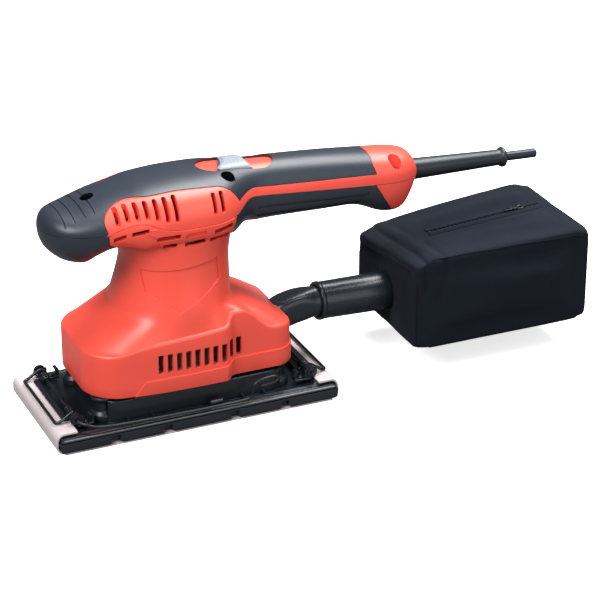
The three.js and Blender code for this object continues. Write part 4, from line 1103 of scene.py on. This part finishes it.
def build_plate():
    """The sole plate with its two rails, raised ends, tub, hub, ribs and hooks for the levers."""
    half_x, half_y = PAD["length"] / 2 - 1.2, PAD["width"] / 2
    bottom, top = PLATE["bottom"], PLATE["top"]
    plate = slab("sole_plate", rounded((-half_x, half_x), (-half_y + 3, half_y - 3), 3), (bottom, top), 0.3)
    places = [(dx - half_x, size) for dx, size in RAIL_ENDS]
    places += [(half_x - dx, size) for dx, size in RAIL_ENDS[::-1]]
    for angle in (0, math.pi):
        rail = skin("rail", [[(x, half_y + min(dy, 1.2 * (size - 1)), bottom + dz * size) for dy, dz in RAIL]
                             for x, size in places])
        join(plate, spun(rail, angle))
    for side in (-1, 1):
        ends = rounded(on_side(side, half_x, half_x - PLATE["end_length"]), (5 - half_y, half_y - 5), 2)
        join(plate, slab("end", ends, (bottom, PLATE["end_top"]), 1.9, 5, (False, True)))
    x, y, wall, corner = TUB["half_length"], TUB["half_width"], TUB["wall"], TUB["corner"]
    tub = slab("tub", rounded((-x, x), (-y, y), corner, 12), (bottom, TUB["top"]), 0.7)
    inside = rounded((wall - x, x - wall), (wall - y, y - wall), corner - wall, 12)
    join(plate, cut(tub, slab("inside", inside, (top, 40))))
    join(plate, upright("hub", 0, 0, HUB["radius"], (bottom, HUB["top"]), 48))
    hook = [(40.0, bottom), (43.2, bottom), (43.2, 14.2), (42.6, 15), (41.4, 15.4), (40, 15.4)]
    for side in (-1, 1):
        for x in (-44 * side, -30 * side, -12 * side, 30 * side, 46 * side):
            join(plate, box("rib", (x - 0.6, x + 0.6), on_side(side, 36.5, 40.6), (top - 1, 13.2)))
        join(plate, skin("hook", [[(x, -side * y, z) for y, z in hook] for x in (side * 7, side * 15)]))
    for x, y in feet_places():
        cut(plate, upright("room", x, y, FOOT["radius"] + GAP, (top + 0.01, 30)))
    cut(plate, upright("bore", 0, 0, HUB["bore"], (HUB["floor"], 30), 48))
    cut(plate, dust_holes())
    show(plate, 35, PLATE_PAINT, "base", "black_metal", "base_plate")


def build_feet():
    """Rubber feet with a waist."""
    radius, bottom, top = FOOT["radius"], FOOT["bottom"], FOOT["top"]
    waist = smooth_table([(bottom, radius), (bottom + 3, radius), (bottom + 6.5, radius - 2.2),
                          (top - 4, radius - 2.2), (top - 1.5, radius - 0.5), (top, radius - 1.2)])
    profile = [(0, bottom), (radius - 0.4, bottom), (radius, bottom + 0.4)]
    profile += [(waist(z), z) for z in spread(bottom + 1, top - 0.2, 24)] + [(radius - 2, top), (0, top)]
    names = ("front_left", "front_right", "rear_left", "rear_right")
    for name, (x, y) in zip(names, feet_places()):
        foot = moved(turned(f"foot_{name}", profile, 36), x, y, 0)
        show(foot, 40, RUBBER, "base", "black_rubber", f"rubber_foot_{name}")


# ---- paper clamps

# Outlines in X and Z, from the strip's front edge and underside
LIP = [(-6.4, 1.35), (-6.4, 1.9), (-6, 2.5), (-5.2, 2.9), (-4, 3), (-2.6, 2.8), (-1.8, 2.2), (0.5, 1.9),
       (0.5, 1.35)]
LUG = [(10, 0.5), (11.4, 0.5), (11.4, 5.6), (10.9, 6.6), (9.6, 7), (8.4, 6.4), (8.9, 5.5), (10, 5)]
# Radius and height of the small rivets and of the two large ones
RIVET = [(0, 0.6), (1.5, 0.6), (1.5, 1.7), (1.1, 2.1), (0, 2.3)]
LARGE_RIVET = [(0, 0.6), (1.9, 0.6), (1.9, 2), (1.4, 2.6), (0, 2.8)]


def finish_clamp_piece(thing, name, end, sharp, material, body, slot, node):
    """Names and shows a piece of a clamp. The rear clamp is the front one turned half round."""
    if end == "rear":
        spun(thing, math.pi)
    thing.name = f"{end}_{name}"
    show(thing, sharp, material, body, slot, f"{end}_{node}")


def build_bracket(end):
    """Pressed steel: a strip on the plate with a lip, ears that carry the wires, rivets and springs."""
    x, z, low = LEVER["x"], LEVER["z"], PLATE["end_top"] + GAP
    strip = (low, low + 1.4)
    bracket = slab("bracket", rounded((x, x + 4.5), (-37, 37), 1), strip, 0.3)
    for side in (-1, 1):
        ear = across("ear", x, z, 4, on_side(side, 36, 34))
        join(ear, across("boss", x, z, 2.7, on_side(side, 37, 35)))
        join(ear, box("root", (x, x + 4.5), on_side(side, 36, 34), (low, z + 1.5)))
        join(bracket, ear)
    for y in (-22, 0, 22):
        join(bracket, moved(turned("rivet", RIVET, 20), x + 2.4, y, low))
    join(bracket, prism("lip", shifted(LIP, x, low), (-28.5, 28.5)))
    for side in (-1, 1):
        tongue = slab("tongue", rounded((x + 3, x + 11.4), on_side(side, 36.6, 29.8), 1.2), strip, 0.3)
        join(tongue, prism("lug", shifted(LUG, x, low), on_side(side, 35.6, 31)))
        join(tongue, moved(turned("head", LARGE_RIVET, 24), x + 6.6, side * 33.2, low))
        join(bracket, tongue)
        coil = [(x + 2.2 * math.cos(a), side * (20 + 1.15 * a / math.pi), z + 2.2 * math.sin(a))
                for a in turns(0, 1417.5, 63)]
        join(bracket, tube("spring", [(x + 2, side * 19.9, low + 1)] + coil, 0.55, 8))
    cut(bracket, across("hole", x, z, LEVER["wire"] + GAP, (-40, 40)))
    cut(bracket, box("flap_room", (-100, x - 0.1), (-50, 50), (0, 14)))
    finish_clamp_piece(bracket, "bracket", end, 35, PLATE_PAINT, "base", "black_metal", "clamp_bracket")


def build_lever(end):
    """One bent wire: the pivot bar, a crank to the side, the long arm and the finger loop."""
    x, z, side = LEVER["x"], LEVER["z"], LEVER["side"]
    line = [(x, y, z) for y in (38, 30, 0, -34)] + [(x + 0.6, -39.5, z - 0.2), (x + 5, -43.4, z - 1.4)]
    arm = [(x + 12, z - 3), (-50, 13.4), (-20, 12.6), (10, 12.4), (29, 12.8), (33, 14.6), (34, 18),
           (35, 21.6), (38, 23.8), (44, 25), (49, 25), (51.5, 23.4), (50, 21.6), (45, 20.6), (39.5, 20.2)]
    line += [(along, side, up) for along, up in arm]
    lever = tube("lever", smooth_line(line), LEVER["wire"], 16)
    finish_clamp_piece(lever, "lever_wire", end, 50, WIRE, f"{end}_lever", "black_wire", "lever")


def build_bail(end):
    """A U of wire hinged beside the bracket's ears; its cross bar lies on the folded sheet."""
    x, z, wire, span = LEVER["x"], LEVER["z"], LEVER["wire"], 31
    rest = PLATE["end_top"] + GAP + PAD["paper"] + wire + GAP

    def leg(side):
        return [(along, side * (span - inward), up) for along, inward, up in (
            (x - 0.4, 0, z + 3.4), (x - 4, 0, z + 1.4), (-87, 0, rest + 0.6),
            (-89.2, 0.9, rest + 0.1), (-89.8, 3, rest))]

    line = leg(-1) + [(-89.8, -15, rest), (-89.8, 15, rest)] + leg(1)[::-1]
    bail = tube("bail", smooth_line(line), wire, 16)
    for side in (-1, 1):
        join(bail, across("eye", x, z, 3.1, on_side(side, span - 1.6, span + 1.6)))
    cut(bail, across("hole", x, z, wire + GAP, (-40, 40)))
    finish_clamp_piece(bail, "bail_wire", end, 40, WIRE, f"{end}_bail", "black_wire", "bail")


# ---- dust bag

# X, top on the near side, top on the far side, bottom, half width
BAG = [(147, 74, 63, 26.5, 38), (148.5, 78.5, 67.5, 23.6, 41.8), (153, 82, 71, 21.6, 43.3),
       (160, 84, 73.5, 20.9, 43.6), (250, 85.2, 84.2, 20.6, 43.6), (262, 85.4, 85, 20.8, 43.5),
       (268, 83.8, 83.3, 21.8, 42.6), (272, 79, 78, 25, 39)]
ZIP = {"x": 245, "y": 4, "top": 84.2, "rise": 0.071, "start": 178, "end": 260, "pitch": 1.5}
near_top, far_top, bag_bottom, bag_half = (
    smooth_table([(row[0], row[k]) for row in BAG]) for k in (1, 2, 3, 4))


def roof_z(x, y, half=BAG_HALF_WIDTH):
    """Height of the bag's top, which falls from the near side to the far side."""
    return mix(near_top(x), far_top(x), 0.5 + 0.5 * y / half)


def zip_z(x):
    return ZIP["top"] + (x - ZIP["x"]) * ZIP["rise"]


def wander(x, y, z):
    """A smooth random value between -1 and 1, always the same for a place."""
    return noise.noise(Vector((x, y, z)))


def bag_shape(inset, squareness, count=120):
    """The sewn box, inset on every side, with sections that crowd towards its ends."""
    front, rear = BAG_ENDS
    stations = [front + x for x in (0, 0.4, 1, 2, 3.5, 6, 9, 13)] + [160 + 4.5 * k for k in range(1, 23)]
    stations += [rear - x for x in (10, 7.5, 5, 3, 1.4, 0.2)]
    middle = 209
    rings = []
    for place in stations:
        half = bag_half(place) - inset
        bottom = bag_bottom(place) + inset
        ring = []
        for a in circle(count, 0.5):
            y = half * powered(math.cos(a), squareness)
            top = roof_z(place, y, half) - inset
            z = (top + bottom) / 2 + (top - bottom) / 2 * powered(math.sin(a), squareness)
            ring.append(Vector((mix(place, middle, inset / (middle - front)), y, z)))
        rings.append(evenly(ring + [ring[0]], count)[:-1])
    return skin("cloth_bag", rings)


def edge_distance(x, y, z):
    """How far a point of the bag is from the nearest sewn edge of the box."""
    side = abs(bag_half(clamp(x, 153, 262)) - abs(y))
    roof = abs(roof_z(clamp(x, 160, 262), y) - z)
    ends = abs(min(x - BAG_ENDS[0] - 0.5, BAG_ENDS[1] - 1 - x))
    sole = 21
    return math.hypot(*sorted((side, min(roof, abs(z - sole)), ends))[:2])


def swell(thing, voxel, travel):
    """Cloth blown up from inside by at most travel millimetres, and less near its sewn edges."""
    even = thing.modifiers.new("even", "REMESH")
    even.mode = "VOXEL"
    even.voxel_size = voxel * MM
    apply_modifiers(thing)
    start = [v.co.copy() for v in thing.data.vertices]
    cloth = thing.modifiers.new("cloth", "CLOTH")
    cloth.settings.use_pressure = True
    cloth.settings.uniform_pressure_force = 4
    cloth.settings.effector_weights.gravity = 0
    for frame_number in range(1, 21):
        bpy.context.scene.frame_set(frame_number)
    apply_modifiers(thing)
    for vertex, before in zip(thing.data.vertices, start):
        step = vertex.co - before
        held = 0.25 + 0.75 * smoothstep(edge_distance(*(before / MM)), 3, 20)
        vertex.co = before + step.normalized() * min(step.length, travel * MM) * held
    bpy.context.scene.frame_set(1)
    return thing


def tailor(thing, squareness=26):
    """Draws the cloth out to the box it is sewn as: fully at the sewn edges, less in the panels."""
    front, rear = BAG_ENDS
    for vertex in thing.data.vertices:
        x, y, z = vertex.co / MM
        place = clamp(x, front + 0.1, rear - 0.2)
        half, top, bottom = bag_half(place), roof_z(place, y, bag_half(place)), bag_bottom(place)
        middle, rise = (top + bottom) / 2, (top - bottom) / 2
        size = (abs(y / half) ** squareness + abs((z - middle) / rise) ** squareness) ** (1 / squareness)
        sewn = 1 - smoothstep(edge_distance(x, y, z), 3, 18)
        drawn = smoothstep(size, 0.72, 0.9) * mix(0.3, 1, sewn)
        stretch = mix(1, 1 / max(size, 0.3), drawn)
        if x < front + 6:
            x = mix(x, front + 0.2, 0.7 * (1 - smoothstep(x, front + 2, front + 6)))
        elif x > rear - 6:
            x = mix(x, rear + 0.8, 0.7 * smoothstep(x, rear - 6, rear - 2))
        vertex.co = Vector((x, y * stretch, middle + (z - middle) * stretch)) * MM
    return thing


# Folds across the front of the top: X, height, width and where each one's wandering starts
FOLDS = [(155.2, -2.2, 1.9, 1.3), (160.6, 1.5, 3.2, 2.7), (167, -1.3, 2.4, 5.1)]


def crumple(thing):
    """Soft folds: rolls over the front edge, shallow dents in the panels and a flat bed for the zip."""
    normals = [v.normal.copy() for v in thing.data.vertices]
    for vertex, normal in zip(thing.data.vertices, normals):
        x, y, z = vertex.co / MM
        dent = 1.1 * wander(x * 0.022 + 3.1, y * 0.03, z * 0.028)
        dent += 0.35 * wander(x * 0.06, y * 0.09, z * 0.05)
        dent *= smoothstep(edge_distance(x, y, z), 2, 12)
        if x < 154 and z > 45:
            drop = roof_z(153, y) + 1.5 * wander(y * 0.07, 8.1, 0) - z
            front = (1 - smoothstep(x, 150, 154)) * (1 - 0.85 * smoothstep(abs(y), 28, 41))
            dent += front * (1.1 * hill(drop, 4, 3) - 1.9 * hill(drop, 9.5, 1.7))
        high = smoothstep(z, 52, 66) * (1 - smoothstep(x, 166, 178))
        high *= (0.8 + 0.5 * wander(y * 0.06, 4.2, 0)) * (1 - 0.75 * smoothstep(y, 18, 42))
        for place, size, width, seed in FOLDS:
            dent += high * size * hill(x, place + 2.2 * wander(y * 0.045, seed, 0.5), width)
        shaped = Vector((x, y, z)) + normal * dent
        if normal.z > 0.5 and 160 < x < 268:
            bed = (1 - smoothstep(abs(y - ZIP["y"]), 6, 17)) * smoothstep(x, 160, 174)
            shaped.z = mix(shaped.z, zip_z(x) - 0.35, bed)
        vertex.co = shaped * MM
    return thing


def on_cloth(tree, points, lift, passes=3):
    """The points moved onto the cloth, lift millimetres outside it, as a smooth line."""
    line = []
    for p in points:
        place, normal, _, _ = tree.find_nearest(Vector(p) * MM)
        line.append(place / MM + normal * lift)
    for _ in range(passes):
        line = [line[0]] + [(a + b * 2 + c) / 4 for a, b, c in zip(line, line[1:], line[2:])] + [line[-1]]
    return line


def seam_paths():
    """Corners of the bag where its panels are sewn together."""
    front, rear = BAG_ENDS
    xs, ys = spread(front + 10, rear - 6, 60), spread(-39, 39, 40)
    paths = []
    for side, top in ((-1, near_top), (1, far_top)):
        drop = 5.6 if side < 0 else 0
        paths.append([(x, side * (bag_half(x) + 1), top(x) + 1 - drop * smoothstep(x, 150, 290)) for x in xs])
        paths.append([(x, side * (bag_half(x) + 1), 19.5) for x in xs])
        for x, high in ((front, top(front + 2) - 12), (rear, top(rear - 4) - 2)):
            paths.append([(x, side * (BAG_HALF_WIDTH + 0.3), z) for z in spread(26, high, 30)])
    paths += [[(x, y, 20) for y in ys] for x in BAG_ENDS]
    return paths + [[(rear, y, roof_z(rear - 6, y) + 1) for y in ys]]


def zip_tape(side):
    """One side of the zip's cloth tape, with a rolled inner edge and a wavy outer one."""
    rings = []
    for x in spread(ZIP["start"], ZIP["end"], 82):
        wave = 0.25 * wander(x * 0.09, side, 2)
        section = [(1.1, -0.5), (1.0, 0.2), (1.3, 0.55), (2.4, 0.65), (3.6, 0.45), (4.6 + wave, 0.25),
                   (5.2 + wave, -0.2), (5.3 + wave, -0.5)]
        rings.append([(x, ZIP["y"] + side * y, zip_z(x) + z) for y, z in section])
    return skin("tape", rings)


def zip_tooth(k):
    """One of the zip's teeth, which reach across from each side in turn."""
    x = ZIP["start"] + 2 + ZIP["pitch"] * k
    y = [ZIP["y"] + reach for reach in on_side(1 if k % 2 else -1, -0.85, 0.2125)]
    outline = rounded((x - 0.5, x + 0.5), y, 0.2, 2)
    return slab("tooth", outline, (zip_z(x) - 0.6, zip_z(x) + 0.1), 0.15, 2)


def build_bag():
    """The cloth with its piping along the seams, and the zip's tapes and teeth."""
    bag = swell(bag_shape(inset=0.6, squareness=24), voxel=4, travel=5)
    finer = bag.modifiers.new("finer", "SUBSURF")
    finer.levels = finer.render_levels = 2
    crumple(tailor(apply_modifiers(bag)))
    show(bag, 180, CLOTH, "bag", "cloth", "dust_bag")

    tree = BVHTree.FromObject(bag, bpy.context.evaluated_depsgraph_get())
    cords = [tube("cord", on_cloth(tree, path, -0.1), 0.55, 8) for path in seam_paths()]
    show(gathered(cords, "bag_piping"), 60, PIPING, "bag", "cloth")
    show(gathered([zip_tape(-1), zip_tape(1)], "zip_tape"), 60, CLOTH, "bag", "cloth")
    count = round((ZIP["end"] - ZIP["start"] - 4) / ZIP["pitch"])
    show(gathered([zip_tooth(k) for k in range(count)], "zip_teeth"), 30, BLACK, "bag", "black_plastic")


def build_zip_pull():
    """The zip's slider with a hinged tab lying on it, shaped about its own middle."""
    half = [(-3.4, -1.3), (1.5, -2.2), (3.2, -1.9), (3.8, 0)]
    body = slab("zip_slider", half + [(x, -y) for x, y in half[-2::-1]], (0.1, 1.2), 0.35, 3)
    bridge = smooth_line([(-1.8, 0, 0.9), (-1.4, 0, 1.9), (0, 0, 2.2), (1.4, 0, 1.9), (1.8, 0, 0.9)], 4)
    join(body, tube("bridge", bridge, 0.45, 10))
    tab = slab("tab", rounded((-10.5, -0.4), (-1.7, 1.7), 1.2), (1.45, 2.05), 0.2, 3)
    cut(tab, slab("eye", rounded((-9.3, -6.8), (-0.8, 0.8), 0.7), (0, 4)))
    cut(tab, slab("slot", rounded((-2.2, -1.0), (-0.9, 0.9), 0.4), (0, 4)))
    spun(join(body, tab), -math.atan(ZIP["rise"]), "Y")
    moved(body, ZIP["x"], ZIP["y"], ZIP["top"] + GAP)
    show(body, 35, DARK_STEEL, "zip_pull", "steel", "zip_pull")


for build in (build_slider, build_screws, build_cord, build_nozzle, build_collar, build_sheet, build_foam,
              build_plate, build_feet):
    build()
for end in ("front", "rear"):
    build_bracket(end)
    build_lever(end)
    build_bail(end)
build_bag()
build_zip_pull()

# ---- carried-over CAD nodes

CARRIED = {
    ALUMINIUM: ("bearing_box",),
    BLACK: ("switch_body", "strain_relief"),
    FILM: ("capacitor",),
    CORE: ("field_core", "armature_core"),
    COPPER: ("field_coil_left", "field_coil_right", "armature_winding_lower", "armature_winding_upper",
             "commutator"),
    BRASS: ("brush_holder_left", "brush_holder_right"),
    CARBON: ("carbon_brush_left", "carbon_brush_right"),
    FAN: ("cooling_fan", "dust_fan"),
    STEEL: ("brush_spring_left", "brush_spring_right", "lower_bearing_outer", "upper_bearing_outer",
            "lower_bearing_inner", "upper_bearing_inner", "orbit_bearing_inner", "orbit_bearing_outer",
            "armature_shaft", "counterweight"),
}
for material, names in CARRIED.items():
    for name in names:
        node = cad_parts[name]
        node.data.materials.clear()
        node.data.materials.append(material)

# ---- camera, light and floor

AZIMUTH, ELEVATION, DISTANCE = math.radians(-23.96), math.radians(25.56), 1529
target = Vector((86.1, 0, 50.6)) * MM
away = Vector((math.sin(AZIMUTH) * math.cos(ELEVATION), -math.cos(AZIMUTH) * math.cos(ELEVATION),
               math.sin(ELEVATION)))


def aimed(name, data, place):
    """A camera or light at a place, turned towards the target."""
    thing = linked(name, data)
    thing.location = place
    thing.rotation_euler = (target - thing.location).to_track_quat("-Z", "Y").to_euler()
    return thing


def area_light(name, place, size, power):
    data = bpy.data.lights.new(name, "AREA")
    data.energy = power
    data.size = size
    aimed(name, data, place)


lens = bpy.data.cameras.new("camera")
lens.lens = 143.9
lens.sensor_width = 36
bpy.context.scene.camera = aimed("camera", lens, target + away * DISTANCE * MM)
area_light("key", (-1.0, -0.65, 1.3), 0.8, 28)
area_light("fill", (0.5, -1.6, 0.7), 1.2, 8)
area_light("top", (0.6, 0.2, 1.55), 1.1, 54)

world = bpy.data.worlds.new("studio")
world.use_nodes = True
world.node_tree.nodes["Background"].inputs["Color"].default_value = (1, 1, 1, 1)
world.node_tree.nodes["Background"].inputs["Strength"].default_value = 0.17
bpy.context.scene.world = world
bpy.context.scene.view_settings.view_transform = "Standard"

# the floor looks white to the camera and throws little light back onto the object
floor_finish = Finish("floor", (0.92, 0.92, 0.92), 0.9)
seen = floor_finish.node("ShaderNodeLightPath").outputs["Is Camera Ray"]
floor_finish.paint(seen, (0.14, 0.14, 0.14), (0.97, 0.97, 0.97))
floor_finish.feed(floor_finish.sockets["Emission Color"], (1, 1, 1, 1))
floor_finish.feed(floor_finish.sockets["Emission Strength"], floor_finish.ramp(seen, 0, 0.7, 0, 1))
reach, low = 6000, -0.05
floor = mesh_object("floor", [(-reach, -reach, low), (reach, -reach, low), (reach, reach, low),
                              (-reach, reach, low)], [(0, 1, 2, 3)])
floor.data.materials.append(floor_finish.material)
